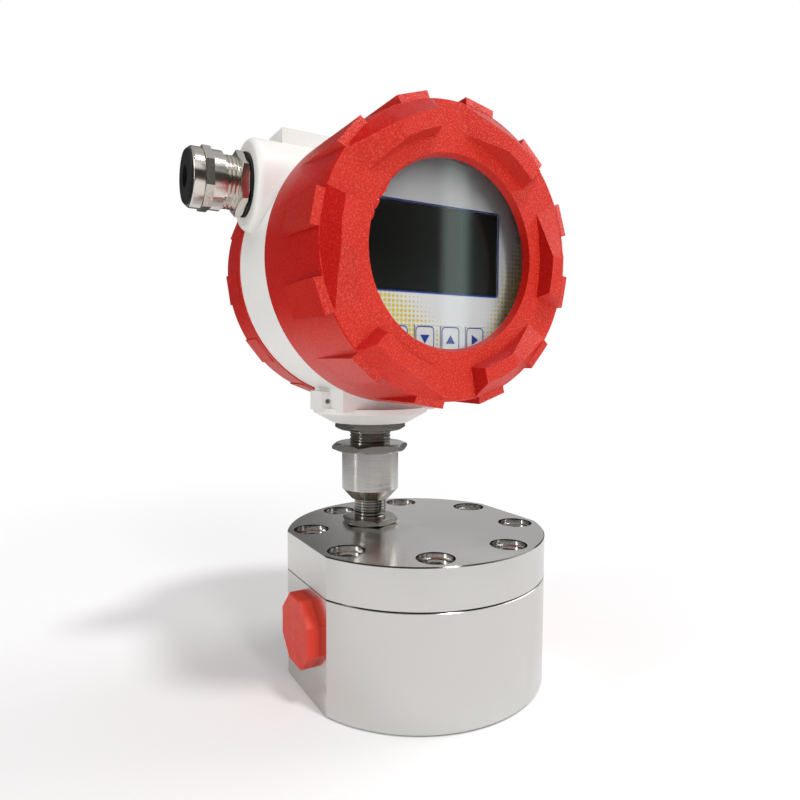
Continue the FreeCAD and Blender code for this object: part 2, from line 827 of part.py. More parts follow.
def build_stem():
    """The pickup's lock nut, the stem on its upper end and the stem's lock nut."""
    place = (d.stem_x, d.stem_y, lid_top)
    build_nut("lid_lock_nut", place, d.lid_nut_across, d.lid_nut_high, d.pickup_dia, LID_NUT_TURN)
    body = start_body("stem_adapter", (d.stem_x, d.stem_y, 0))
    inner = d.pickup_dia / 2 + d.fit_gap
    outer = d.adapter_dia / 2
    thread = d.stem_dia / 2
    revolve(body, [
        (inner, d.adapter_from),
        (d.adapter_foot_dia / 2, d.adapter_from),
        (outer, d.adapter_from + d.adapter_cone),
        (outer, flange_from),
    ] + hexagon_rim(d.flange_across, flange_from, upper_thread_from) + [
        (thread, upper_thread_from),
        (thread, stem_top - d.edge_break),
        (thread - d.edge_break, stem_top),
        (d.stem_bore / 2, stem_top),
        (d.stem_bore / 2, d.pickup_top + d.fit_gap),
        (inner, d.pickup_top + d.fit_gap),
    ])
    cut_hexagon(body, d.flange_across, upper_thread_from, d.flange_high, FLANGE_TURN)
    thread_grooves(body, d.stem_dia, upper_thread_from + d.fit_gap, head_nut_from + d.fit_gap)
    place = (d.stem_x, d.stem_y, head_nut_from)
    build_nut("head_lock_nut", place, d.head_nut_across, d.head_nut_high, d.stem_dia, HEAD_NUT_TURN)


def head_place(forward=0):
    """The head's axis, at a distance in front of the housing's own zero plane."""
    return (d.stem_x, -as_size(forward), d.head_level)


def build_housing():
    """The cast head: a band with two threaded spigots, entry bosses and a pedestal."""
    body = start_body("housing", head_place(), HEAD_FRAME)
    revolve(body, [
        (0, -spigot_back),
        (spigot_radius, -spigot_back),
        (spigot_radius, -d.band_back),
        (band_radius, -d.band_back),
        (band_radius, d.band_front),
        (spigot_radius, d.band_front),
        (spigot_radius, spigot_front),
        (0, spigot_front),
    ])
    block = new_sketch(body, offset=-d.block_front)
    draw_outline(block, box_outline(-d.block_half, d.block_half, d.boss_level, d.block_top))
    pad(body, block, d.block_long, backwards=True)
    boss = new_sketch(body, "YZ_Plane", -boss_reach)
    draw_circle(boss, d.boss_dia, d.boss_level, -d.stem_y)
    pad(body, boss, 2 * boss_reach)
    boss_rims = edges_at(body, -boss_reach, "X") + edges_at(body, boss_reach, "X")
    round_off(body, boss_rims, d.boss_round)
    web = new_sketch(body, offset=d.band_front - d.web_end_gap)
    web_low = d.pedestal_thick - head_drop - OVERLAP
    draw_outline(web, box_outline(-d.web_half, d.web_half, web_low, -cavity_radius))
    pad(body, web, d.band_front + d.band_back - 2 * d.web_end_gap, backwards=True)
    pedestal = new_sketch(body, "XZ_Plane", head_drop - d.pedestal_thick)
    draw_circle(pedestal, d.pedestal_dia, 0, -d.stem_y)
    pad(body, pedestal, d.pedestal_thick - d.pedestal_drop)
    rim = new_sketch(body, "XZ_Plane", head_drop - d.pedestal_drop)
    draw_circle(rim, d.pedestal_dia, 0, -d.stem_y)
    foot = new_sketch(body, "XZ_Plane", head_drop)
    draw_circle(foot, d.pedestal_dia - 2 * d.pedestal_slope, 0, -d.stem_y)
    slope = body.newObject("PartDesign::AdditiveLoft", "housing_slope")
    slope.Profile = rim
    slope.Sections = [foot]
    finish(body, slope)
    lug = new_sketch(body, offset=d.lug_half - d.stem_y)
    draw_outline(lug, box_outline(-d.lug_reach, OVERLAP - d.web_half, web_low, web_low + d.lug_high))
    pad(body, lug, 2 * d.lug_half, backwards=True)
    lug_hole = new_sketch(body, offset=d.lug_half - d.stem_y)
    draw_circle(lug_hole, d.lug_hole, d.lug_hole_in - d.lug_reach, web_low + d.lug_high / 2)
    cut(body, lug_hole, 2 * d.lug_half)
    cover_room = rear_lug_reach + d.cover_room
    groove(body, box_outline(spigot_radius, cover_room, -spigot_back - OVERLAP, -d.band_back))
    groove(body, box_outline(0, cavity_radius, d.wall_front, spigot_front))
    groove(body, box_outline(0, cavity_radius, -spigot_back, wall_back))
    entries = new_sketch(body, "YZ_Plane", boss_reach)
    draw_circle(entries, d.entry_dia + 2 * d.fit_gap, d.boss_level, -d.stem_y)
    cut(body, entries, 2 * boss_reach)
    socket = new_sketch(body, "XZ_Plane", head_drop)
    draw_circle(socket, d.stem_dia + 2 * d.fit_gap, 0, -d.stem_y)
    cut(body, socket, head_drop - cavity_radius + d.stem_socket_past)
    wires = new_sketch(body, offset=d.wall_front)
    draw_circle(wires, d.wire_hole, 0, -cavity_radius / 2)
    cut(body, wires, d.wall_thick)


def radial_sketch(body, degrees, points):
    """A sketch of (radius, height) points in the half plane at an angle round Z."""
    sketch = new_sketch(body, "XZ_Plane")
    turn = FreeCAD.Rotation(FreeCAD.Vector(0, 1, 0), degrees)
    sketch.AttachmentOffset = FreeCAD.Placement(FreeCAD.Vector(), turn)
    draw_outline(sketch, points)
    return sketch


def build_grips(body):
    """Raised grips on the cover's front: each rises as a ramp, runs on and ends."""
    sketches = []
    for degrees, foot, top_in, top_out, share in GRIP_SECTIONS:
        top = d.front_plane + share * d.bar_high
        inner = rim_edge + foot
        outer = cover_nose - d.cover_edge
        sketches.append(radial_sketch(body, degrees, [
            (inner, d.front_plane - OVERLAP),
            (outer, d.front_plane - OVERLAP),
            (outer, d.front_plane),
            (cover_nose - top_out, top),
            (rim_edge + top_in, top),
            (inner, d.front_plane),
        ]))
    grip = body.newObject("PartDesign::AdditiveLoft", "front_cover_grip")
    grip.Profile = sketches[0]
    grip.Sections = sketches[1:]
    grip.Ruled = True
    finish(body, grip)
    repeat_round(body, [grip], COVER_SIDES)


def pad_outline(root, reach, middle):
    """A pad between two radii, seen along the head's axis."""
    low = middle - PAD_HALF_ANGLE
    high = middle + PAD_HALF_ANGLE
    corners = ((root, low), (reach, low), (reach, high), (root, high))
    return [polar_point(radius, degrees) for radius, degrees in corners]


def build_front_cover():
    """The screwed window cover: a tapered cup with raised grips and side pads."""
    body = start_body("front_cover", head_place(), HEAD_FRAME)
    thread = spigot_radius + d.thread_fit
    seal_outer = spigot_radius + d.ring_seal_wide
    revolve(body, [
        (seal_outer, d.band_front),
        (d.cover_radius, d.band_front),
        (d.cover_radius, d.cover_taper_from),
        (cover_nose, d.front_plane - d.cover_edge),
        (cover_nose - d.cover_edge, d.front_plane),
        (rim_edge, d.front_plane),
        (d.rim_radius, d.front_plane - d.rim_deep),
        (window_radius, d.front_plane - d.rim_deep),
        (window_radius, d.cover_bore_top),
        (cover_bore, d.cover_bore_top),
        (cover_bore, spigot_front + 2 * d.cover_bore_slope),
        (thread, spigot_front + d.cover_bore_slope),
        (thread, d.band_front + d.ring_seal_high),
        (seal_outer, d.band_front + d.ring_seal_high),
    ])
    strip = new_sketch(body, offset=d.front_plane)
    draw_outline(strip, pad_outline(thread + d.pad_bite, d.cover_radius, PAD_MIDDLE))
    strips = pad(body, strip, d.front_plane - d.cover_taper_from, backwards=True)
    repeat_round(body, [strips], PAD_COUNT)
    slope_out = d.cover_radius + OVERLAP
    slope_end = d.front_plane - d.pad_slope
    groove(body, [(cover_nose, d.front_plane), (slope_out, d.front_plane), (slope_out, slope_end)])
    build_grips(body)


def build_window():
    """The window's gasket, its glass and the threaded ring that holds them."""
    gasket = start_body("window_gasket", head_place(glass_front), HEAD_FRAME)
    outer = window_radius - d.fit_gap
    revolve(gasket, box_outline(outer - d.gasket_wide, outer, 0, d.gasket_thick))
    glass = start_body("window_glass", head_place(glass_back), HEAD_FRAME)
    revolve(glass, [(0, 0), (outer, 0), (outer, d.glass_thick), (0, d.glass_thick)])
    retainer = start_body("window_retainer", head_place(retainer_back), HEAD_FRAME)
    revolve(retainer, box_outline(outer - d.retainer_wide, outer, 0, d.retainer_thick))


def build_cover_seals():
    for name, place in (
        ("front_cover_seal", d.band_front),
        ("rear_cover_seal", -d.band_back - d.ring_seal_high),
    ):
        body = start_body(name, head_place(place), HEAD_FRAME)
        inner = spigot_radius + d.fit_gap
        outer = spigot_radius + d.ring_seal_wide - d.fit_gap
        revolve(body, box_outline(inner, outer, 0, d.ring_seal_high))


def build_rear_cover():
    """The blind screwed cover of the wiring compartment."""
    body = start_body("rear_cover", head_place(), HEAD_FRAME)
    thread = spigot_radius + d.thread_fit
    seal_outer = spigot_radius + d.ring_seal_wide
    back = -(d.band_back + d.rear_deep)
    revolve(body, [
        (seal_outer, -d.band_back),
        (seal_outer, -d.band_back - d.ring_seal_high),
        (thread, -d.band_back - d.ring_seal_high),
        (thread, back + d.rear_wall + d.rear_recess_deep),
        (0, back + d.rear_wall + d.rear_recess_deep),
        (0, back + d.rear_recess_deep),
        (d.rear_recess, back + d.rear_recess_deep),
        (d.rear_recess, back),
        (d.cover_radius - d.rear_draft, back),
        (d.cover_radius, back + d.rear_taper),
        (d.cover_radius, -d.band_back),
    ])
    lug = new_sketch(body, offset=-(d.band_back + d.rear_lug_from))
    draw_outline(lug, pad_outline(thread + d.pad_bite, rear_lug_reach, REAR_LUG_MIDDLE))
    lugs = pad(body, lug, d.rear_lug_long, backwards=True)
    repeat_round(body, [lugs], PAD_COUNT)


def key_middle(index):
    return d.key_shift + d.key_pitch * (index - (len(KEY_NAMES) - 1) / 2)


def build_display():
    """The plate behind the window, the screen module in it and the board."""
    plate = start_body("face_plate", head_place(plate_back), HEAD_FRAME)
    revolve(plate, [(0, 0), (plate_radius, 0), (plate_radius, d.plate_thick), (0, d.plate_thick)])
    openings = new_sketch(plate, offset=d.plate_thick)
    wide = d.screen_wide / 2 + d.key_gap
    tall = d.screen_high / 2 + d.key_gap
    draw_outline(openings, box_outline(-wide, wide, d.screen_up - tall, d.screen_up + tall))
    for index in range(len(KEY_NAMES)):
        half = d.key_wide / 2 + d.key_gap
        middle = key_middle(index)
        low = d.key_top - d.key_high - d.key_gap
        draw_outline(openings, box_outline(middle - half, middle + half, low, d.key_top + d.key_gap))
    cut(plate, openings, d.plate_thick)
    build_module()
    build_board()


def build_module():
    module = start_body("lcd_module", head_place(d.board_front), HEAD_FRAME)
    frame = new_sketch(module)
    wide = d.screen_wide / 2 + d.module_border
    tall = d.screen_high / 2 + d.module_border
    draw_outline(frame, box_outline(-wide, wide, d.screen_up - tall, d.screen_up + tall))
    pad(module, frame, plate_back - d.board_front - d.key_gap)
    screen = new_sketch(module, offset=plate_back - d.board_front - d.key_gap)
    wide = d.screen_wide / 2
    tall = d.screen_high / 2
    draw_outline(screen, box_outline(-wide, wide, d.screen_up - tall, d.screen_up + tall))
    pad(module, screen, d.plate_thick + d.key_gap - d.screen_sink)


def build_board():
    board = start_body("display_board", head_place(board_back), HEAD_FRAME)
    revolve(board, [(0, 0), (board_radius, 0), (board_radius, d.board_thick), (0, d.board_thick)])
    holes = new_sketch(board, offset=d.board_thick)
    for angle in STANDOFF_ANGLES:
        x, y = polar_point(standoff_circle / 2, angle)
        draw_circle(holes, d.stud_dia + 2 * d.stud_play, x, y)
    cut(board, holes, d.board_thick)


def post(across, low, high):
    """A hexagonal post between two heights."""
    corners = [FreeCAD.Vector(x, y, low) for x, y in regular_outline(across, HEX_SIDES)]
    face = Part.Face(Part.makePolygon(corners + corners[:1]))
    return face.extrude(FreeCAD.Vector(0, 0, high - low))


def build_standoffs():
    """Posts from the housing wall to the board, and from the board to the plate."""
    low_posts = []
    high_posts = []
    stud = d.stud_dia.value / 2
    stud_end = board_back.value - d.stud_deep.value
    hole_end = stud_end - d.stud_play.value
    for angle in STANDOFF_ANGLES:
        place = FreeCAD.Vector(*polar_point(standoff_circle.value / 2, angle), 0)
        low_post = post(d.standoff_across.value, d.wall_front.value, board_back.value)
        hole = Part.makeCylinder(stud + d.fit_gap.value, board_back.value - hole_end)
        hole.translate(FreeCAD.Vector(0, 0, hole_end))
        low_post = low_post.cut(hole)
        low_post.translate(place)
        low_posts.append(low_post)
        high_post = post(d.standoff_across.value, d.board_front.value, plate_back.value)
        pin = Part.makeCylinder(stud, d.board_front.value - stud_end)
        pin.translate(FreeCAD.Vector(0, 0, stud_end))
        high_post = high_post.fuse(pin).removeSplitter()
        high_post.translate(place)
        high_posts.append(high_post)
    add_group("board_standoffs", low_posts, head_place(), HEAD_FRAME)
    add_group("plate_standoffs", high_posts, head_place(), HEAD_FRAME)


def build_keys():
    """Four sprung keys: a cap in the plate, a flange behind it and a stem."""
    stem_end = d.board_front + d.switch_high + d.key_travel + d.key_stem_gap
    flange_top = plate_back - d.key_gap
    centre = d.key_top - d.key_high / 2
    wide = d.key_wide / 2
    tall = d.key_high / 2
    stem = d.key_stem / 2
    lip_wide = wide + d.key_flange
    lip_tall = tall + d.key_flange
    for index, name in enumerate(KEY_NAMES):
        body = start_body(name, head_place(), HEAD_FRAME)
        middle = key_middle(index)
        rod = new_sketch(body, offset=stem_end)
        draw_outline(rod, box_outline(middle - stem, middle + stem, centre - stem, centre + stem))
        pad(body, rod, flange_top - stem_end)
        flange = new_sketch(body, offset=flange_top - d.key_flange_thick)
        left = middle - lip_wide
        right = middle + lip_wide
        draw_outline(flange, box_outline(left, right, centre - lip_tall, centre + lip_tall))
        pad(body, flange, d.key_flange_thick)
        cap = new_sketch(body, offset=flange_top)
        draw_outline(cap, box_outline(middle - wide, middle + wide, centre - tall, centre + tall))
        pad(body, cap, d.plate_front + d.key_proud - flange_top)
    switches = []
    half = d.switch_size.value / 2
    for index in range(len(KEY_NAMES)):
        switch = Part.makeBox(d.switch_size.value, d.switch_size.value, d.switch_high.value)
        left = key_middle(index).value - half
        switch.translate(FreeCAD.Vector(left, centre.value - half, d.board_front.value))
        switches.append(switch)
    add_group("key_switches", switches, head_place(), HEAD_FRAME)


def terminal_place(index):
    return (index - (d.terminal_count - 1) / 2) * d.terminal_pitch


def build_terminals():
    """The screw terminal strip on the dividing wall, facing the rear cover."""
    strip = start_body("terminal_block", head_place(wall_back), HEAD_FRAME)
    half = d.terminal_count * d.terminal_pitch / 2
    outline = new_sketch(strip)
    low = -d.terminal_down - d.terminal_high / 2
    draw_outline(outline, box_outline(-half, half, low, low + d.terminal_high))
    pad(strip, outline, d.terminal_deep, backwards=True)
    wells = new_sketch(strip, offset=-d.terminal_deep)
    wires = new_sketch(strip, "XZ_Plane", -low)
    for index in range(int(d.terminal_count.value)):
        draw_circle(wells, d.terminal_well, terminal_place(index), -d.terminal_down)
        draw_circle(wires, d.terminal_wire, terminal_place(index), -d.terminal_deep / 2)
    cut(strip, wells, d.terminal_well_deep, backwards=True)
    cut(strip, wires, d.terminal_wire_deep)
    screws = []
    across = d.terminal_screw.value
    slot_wide = d.terminal_slot.value
    depth = (wall_back - d.terminal_deep + d.terminal_well_deep - d.terminal_screw_high).value
    for index in range(int(d.terminal_count.value)):
        screw = Part.makeCylinder(across / 2, d.terminal_screw_high.value)
        slot = Part.makeBox(across, slot_wide, slot_wide)
        slot.translate(FreeCAD.Vector(-across / 2, -slot_wide / 2, 0))
        screw = screw.cut(slot)
        screw.translate(FreeCAD.Vector(terminal_place(index).value, -d.terminal_down.value, depth))
        screws.append(screw)
    add_group("terminal_screws", screws, head_place(), HEAD_FRAME)


def gland_place(outward=0):
    """A point on the gland's axis, at a distance outside the boss face."""
    return (d.stem_x - boss_reach - outward, d.stem_y, d.head_level + d.boss_level)


def build_gland():
    """The cable gland on the left boss, with its seal, lock nut, dome nut and insert."""
    seal = start_body("gland_seal", gland_place(), LEFT_FRAME)
    thread = d.entry_dia / 2
    revolve(seal, box_outline(thread + d.fit_gap, d.gland_seal_dia / 2, 0, d.gland_seal_thick))
    place = gland_place(gland_nut_from)
    across = d.gland_nut_across
    build_nut("gland_lock_nut", place, across, d.gland_nut_high, d.entry_dia, GLAND_NUT_TURN, LEFT_FRAME)
    body = start_body("gland_body", gland_place(), LEFT_FRAME)
    revolve(body, [
        (d.gland_bore / 2, -d.gland_inside),
        (thread, -d.gland_inside),
        (thread, gland_thread_to),
        (d.gland_neck_dia / 2, gland_thread_to),
        (d.gland_neck_dia / 2, gland_ring_from),
        (d.gland_tip_dia / 2, gland_ring_from),
        (d.gland_tip_dia / 2, gland_tip),
        (d.insert_dia / 2 + d.fit_gap, gland_tip),
        (d.insert_dia / 2 + d.fit_gap, gland_tip - d.insert_deep),
        (d.gland_bore / 2, gland_tip - d.insert_deep),
    ])
    ring = new_sketch(body, offset=gland_ring_from)
    draw_outline(ring, regular_outline(d.gland_ring_across, RING_SIDES, GLAND_RING_TURN))
    draw_circle(ring, d.gland_tip_dia - OVERLAP)
    pad(body, ring, d.gland_ring_long)
    nut_top = gland_nut_from + d.gland_nut_high
    thread_grooves(body, d.entry_dia, nut_top + d.fit_gap, gland_thread_to)
    cap = start_body("gland_cap", gland_place(gland_ring_to + d.gland_cap_gap), LEFT_FRAME)
    outer = d.gland_cap_dia / 2
    inner = d.gland_tip_dia / 2 + d.fit_gap
    lip = outer - d.gland_lip
    revolve(cap, [
        (inner, 0),
        (outer, 0),
        (outer, d.gland_cap_long - d.gland_cap_round),
        (outer - d.gland_cap_round / 3, d.gland_cap_long - d.gland_cap_round / 3),
        (outer - d.gland_cap_round, d.gland_cap_long),
        (lip, d.gland_cap_long),
        (lip, d.gland_tip_long + d.fit_gap),
        (inner, d.gland_tip_long + d.fit_gap),
    ])
    insert = start_body("gland_insert", gland_place(gland_tip), LEFT_FRAME)
    mouth = d.gland_cap_gap + d.gland_cap_long - d.gland_tip_long + d.fit_gap
    face = mouth + d.insert_proud
    throat = lip - 2 * d.fit_gap
    brim = outer - d.gland_cap_round
    revolve(insert, [
        (d.insert_hole / 2, -d.insert_deep),
        (d.insert_dia / 2, -d.insert_deep),
        (d.insert_dia / 2, 0),
        (throat, 0),
        (throat, mouth),
        (brim, mouth),
        (brim, face - d.edge_break),
        (brim - d.edge_break, face),
        (d.insert_hole / 2, face),
    ])


def build_blind_plug():
    """The plug that closes the right boss, and its seal."""
    place = (d.stem_x + boss_reach, d.stem_y, d.head_level + d.boss_level)
    seal = start_body("blind_plug_seal", place, RIGHT_FRAME)
    thread = d.entry_dia / 2
    revolve(seal, box_outline(thread + d.fit_gap, d.gland_seal_dia / 2, 0, d.gland_seal_thick))
    body = start_body("blind_plug", place, RIGHT_FRAME)
    top = d.gland_seal_thick + d.blind_thick
    revolve(body, [
        (0, -d.blind_shank),
        (thread, -d.blind_shank),
        (thread, d.gland_seal_thick),
        (d.blind_dia / 2, d.gland_seal_thick),
        (d.blind_dia / 2, top - d.edge_break),
        (d.blind_dia / 2 - d.edge_break, top),
        (0, top),
    ])
    socket = new_sketch(body, offset=top)
    draw_outline(socket, regular_outline(d.blind_key, HEX_SIDES))
    cut(body, socket, d.blind_key_deep)


def check_document():
    """Stops if any object failed or any sub-part has no sound shape."""
    for item in doc.Objects:
        if "Invalid" in item.State or "Error" in item.State:
            raise RuntimeError("failed object: " + item.Name)
    for piece in PIECES:
        shape = piece.Shape
        if shape.isNull() or not shape.isValid() or not shape.Solids:
            raise RuntimeError("bad shape: " + piece.Label)


def write_pieces():
    os.makedirs("parts", exist_ok=True)
    for piece in PIECES:
        piece.Shape.exportStep("parts/%s.step" % piece.Label)


build_meter_body()
build_meter_lid()
build_lid_seal()
build_lid_screws()
build_oval_gears()
build_gear_bearings()
build_gear_magnets()
build_port_caps()
build_pickup()
build_stem()
build_housing()
build_front_cover()
build_window()
build_cover_seals()
build_rear_cover()
build_display()
build_standoffs()
build_keys()
build_terminals()
build_gland()
build_blind_plug()
doc.recompute()
check_document()
write_pieces()
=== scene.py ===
import math
import random

import bmesh
import bpy
from mathutils import Matrix, Vector


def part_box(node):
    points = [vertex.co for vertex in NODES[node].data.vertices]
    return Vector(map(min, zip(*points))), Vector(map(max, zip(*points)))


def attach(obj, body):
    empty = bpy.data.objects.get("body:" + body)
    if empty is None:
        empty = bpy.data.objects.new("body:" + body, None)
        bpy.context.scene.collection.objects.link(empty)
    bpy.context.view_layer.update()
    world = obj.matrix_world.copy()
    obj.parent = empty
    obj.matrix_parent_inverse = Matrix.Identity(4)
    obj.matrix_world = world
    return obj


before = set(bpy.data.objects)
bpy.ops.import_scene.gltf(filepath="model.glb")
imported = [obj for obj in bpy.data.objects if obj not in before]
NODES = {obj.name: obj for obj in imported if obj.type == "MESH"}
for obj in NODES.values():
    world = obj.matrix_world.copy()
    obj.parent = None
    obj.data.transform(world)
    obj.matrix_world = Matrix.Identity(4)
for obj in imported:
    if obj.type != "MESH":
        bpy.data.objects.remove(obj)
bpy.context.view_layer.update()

SCENE = bpy.context.scene
MM = 0.001


def grey(value):
    return (value, value, value)


# The photograph's camera: where it stands, how it is turned, and its lens
CAMERA_PLACE = Vector((-142.38, -227.46, 134.05)) * MM
CAMERA_YAW = math.radians(30.552)
CAMERA_PITCH = math.radians(-3.70)
CAMERA_ROLL = math.radians(0.259)
CAMERA_LENS = 28.05
SENSOR = 36.0

# Places on the CAD that several pieces share
PLATE_LOW, PLATE_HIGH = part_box("face_plate")
HEAD_MIDDLE = Vector(((PLATE_LOW.x + PLATE_HIGH.x) / 2, 0.0, (PLATE_LOW.z + PLATE_HIGH.z) / 2))
COVER_FRONT = -46.75 * MM
RIM_EDGE = 34.3 * MM
SEAM_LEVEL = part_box("meter_body")[1].z
LID_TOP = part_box("meter_lid")[1].z

# Heights above the stem's lower end
STEM_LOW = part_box("stem_adapter")[0].z
CONE_TOP = 4.5 * MM
FLANGE_LOW = 21.3 * MM
FLANGE_TOP = 24.8 * MM

# Dark lines painted as shade in the seam and along the lid's edge, and the turns of the stem's threads
SHADE_LINE_HALF = 0.28 * MM
LID_EDGE_DROP = 0.2 * MM
THREAD_PITCH = 1.25 * MM

# The print on the plate and the keys
PRINT_LIFT = 0.03 * MM
PRINT_THICK = 0.03 * MM
CORNER_STEPS = 6
SCREEN_BORDER = 4.5 * MM
SCREEN_LINE_OUT = 0.75 * MM
SCREEN_LINE_IN = 0.2 * MM
SCREEN_CORNER_OUT = 1.6 * MM
SCREEN_CORNER_IN = 0.4 * MM
KEY_FLANGE = 0.5 * MM
KEY_INSET = 0.15 * MM
KEY_LINE = 0.38 * MM
KEY_CORNER_OUT = 1.6 * MM
KEY_CORNER_IN = 1.25 * MM

# Each key's mark as corners in mm from the key's middle: a bar, or an arrow's triangle
KEY_MARKS = {
    "key_menu": ((-2.0, -1.4), (2.0, -1.4), (2.0, -0.7), (-2.0, -0.7)),
    "key_down": ((0.0, -1.7), (2.05, 1.5), (-2.05, 1.5)),
    "key_up": ((-2.05, -1.6), (2.05, -1.6), (0.0, 1.6)),
    "key_right": ((1.6, 0.0), (-1.5, 2.0), (-1.5, -2.0)),
}

# Paint flakes on the window's rim: degrees from +X, then length, width and height in mm
FLAKES = (
    (150.0, 5.6, 1.6, 1.0), (144.0, 4.0, 1.3, 0.8), (157.0, 4.4, 1.8, 0.9), (163.5, 3.2, 1.2, 0.7),
    (136.5, 3.0, 1.0, 0.6), (130.0, 2.4, 0.9, 0.5), (147.5, 2.6, 2.4, 1.3), (123.0, 2.6, 0.8, 0.5),
)
FLAKE_SEED = 7
FLAKE_JAG = 0.55
FLAKE_SUNK = 0.1 * MM
FLAKE_BACK = 0.3 * MM

# How wide the sharp edges of some CAD nodes are broken, in mm
EDGE_WIDTHS = {
    "front_cover": 0.45, "rear_cover": 0.5, "housing": 0.9, "inlet_plug": 1.2, "outlet_plug": 1.2,
    "head_lock_nut": 0.12, "lid_lock_nut": 0.12, "gland_cap": 0.12, "gland_lock_nut": 0.12,
}
EDGE_DEGREES = 28.0
EDGE_SEGMENTS = 2
WELD_REACH = 0.001 * MM

# How light the floor and the room are: as seen, as mirrored, and as they light things.
# The floor fades out between two distances in metres, as seen and as mirrored.
FLOOR_SEEN = grey(0.86)
FLOOR_MIRRORED = grey(0.74)
FLOOR_LIT = grey(0.90)
FLOOR_HALF = 3.0
FLOOR_SEEN_TO = (0.20, 0.50)
FLOOR_MIRRORED_TO = (0.32, 0.75)
ROOM_DARK = (0.05, 0.045, 0.04)
ROOM_LIT = grey(0.49)
WHITE = grey(1.0)
AIM = Vector((-0.01, 0.0, 0.11))

# Plain metals: name, two tones, roughness, and the nodes that have it
METALS = (
    ("steel_screw", (0.60, 0.58, 0.55), (0.70, 0.68, 0.65), 0.2,
     ("lid_screws", "gear_shaft_a", "gear_shaft_b")),
    ("gear_steel", (0.52, 0.52, 0.52), (0.62, 0.62, 0.61), 0.25, ("oval_gear_a", "oval_gear_b")),
    ("magnet_plating", (0.45, 0.46, 0.48), (0.55, 0.56, 0.58), 0.15, ("gear_magnets",)),
    ("post_brass", (0.66, 0.50, 0.22), (0.76, 0.60, 0.30), 0.28, ("board_standoffs", "plate_standoffs")),
    ("black_anodised", (0.03, 0.03, 0.03), (0.05, 0.05, 0.05), 0.4, ("window_retainer",)),
)

# Plain plastics: name, two tones, roughness, and the nodes that have it
PLASTICS = (
    ("bush_carbon", (0.03, 0.03, 0.032), (0.05, 0.05, 0.052), 0.45, ("gear_bush_a", "gear_bush_b")),
    ("switch_black", (0.02, 0.02, 0.02), (0.03, 0.03, 0.03), 0.35, ("key_switches",)),
    ("terminal_grey", (0.16, 0.17, 0.17), (0.2, 0.21, 0.21), 0.4, ("terminal_block",)),
)


def make_camera():
    data = bpy.data.cameras.new("camera")
    data.lens = CAMERA_LENS
    data.sensor_width = SENSOR
    data.clip_start = 0.01
    data.clip_end = 20.0
    camera = bpy.data.objects.new("camera", data)
    SCENE.collection.objects.link(camera)
    yaw, pitch, roll = CAMERA_YAW, CAMERA_PITCH, CAMERA_ROLL
    flat = math.cos(pitch)
    ahead = Vector((math.sin(yaw) * flat, math.cos(yaw) * flat, math.sin(pitch)))
    level = Vector((math.cos(yaw), -math.sin(yaw), 0))
    above = level.cross(ahead)
    right = level * math.cos(roll) + above * math.sin(roll)
    top = above * math.cos(roll) - level * math.sin(roll)
    turned_to = Matrix((right, top, -ahead)).transposed().to_4x4()
    camera.matrix_world = Matrix.Translation(CAMERA_PLACE) @ turned_to
    SCENE.camera = camera


class Nodes:
    """Short calls that add nodes to a tree. A source is a socket, a number or a colour."""

    # The places of a mix node's colour sockets
    MIX_AMOUNT, MIX_FIRST, MIX_SECOND, MIX_RESULT = 0, 6, 7, 2

    def __init__(self, tree):
        self.tree = tree
        tree.nodes.clear()

    def add(self, kind):
        return self.tree.nodes.new(kind)

    def link(self, source, target):
        self.tree.links.new(source, target)

    def feed(self, source, target):
        if hasattr(source, "links"):
            self.link(source, target)
        elif isinstance(source, tuple):
            target.default_value = (*source, 1.0)
        else:
            target.default_value = source

    def split(self, vector):
        node = self.add("ShaderNodeSeparateXYZ")
        self.link(vector, node.inputs[0])
        return node.outputs

    def joined(self, *parts):
        node = self.add("ShaderNodeCombineXYZ")
        for part, target in zip(parts, node.inputs):
            self.feed(part, target)
        return node.outputs[0]

    def ramp(self, source, *stops):
        """stops: (position, grey or colour) pairs."""
        node = self.add("ShaderNodeValToRGB")
        elements = node.color_ramp.elements
        for index, (position, value) in enumerate(stops):
            element = elements[index] if index < 2 else elements.new(position)
            element.position = position
            color = value if isinstance(value, tuple) else grey(value)
            element.color = (*color, 1.0)
        self.link(source, node.inputs["Fac"])
        return node.outputs["Color"]

    def mix(self, amount, first, second):
        node = self.add("ShaderNodeMix")
        node.data_type = "RGBA"
        self.feed(amount, node.inputs[self.MIX_AMOUNT])
        self.feed(first, node.inputs[self.MIX_FIRST])
        self.feed(second, node.inputs[self.MIX_SECOND])
        return node.outputs[self.MIX_RESULT]

    def mix_shaders(self, amount, first, second):
        node = self.add("ShaderNodeMixShader")
        for source, target in zip((amount, first, second), node.inputs):
            self.link(source, target)
        return node.outputs[0]

    def math(self, kind, first, second=0.0):
        node = self.add("ShaderNodeMath")
        node.operation = kind
        self.feed(first, node.inputs[0])
        self.feed(second, node.inputs[1])
        return node.outputs[0]

    def total(self, first, second):
        return self.math("ADD", first, second)

    def product(self, first, second):
        return self.math("MULTIPLY", first, second)

    def larger(self, first, second):
        return self.math("MAXIMUM", first, second)

    def size(self, source):
        return self.math("ABSOLUTE", source)

    def inverse(self, source):
        """1 where the source is 0, and 0 where it is 1."""
        return self.math("SUBTRACT", 1.0, source)

    def apart(self, first, second):
        """How far two numbers are from each other."""
        return self.size(self.math("SUBTRACT", first, second))

    def length(self, first, second):
        """The length of a vector with these two parts."""
        return self.math("SQRT", self.total(self.product(first, first), self.product(second, second)))

    def smooth(self, source, low, high):
        """0 below low and 1 above high, with a soft step between."""
        node = self.add("ShaderNodeMapRange")
        node.interpolation_type = "SMOOTHSTEP"
        self.link(source, node.inputs["Value"])
        node.inputs["From Min"].default_value = low
        node.inputs["From Max"].default_value = high
        return node.outputs["Result"]


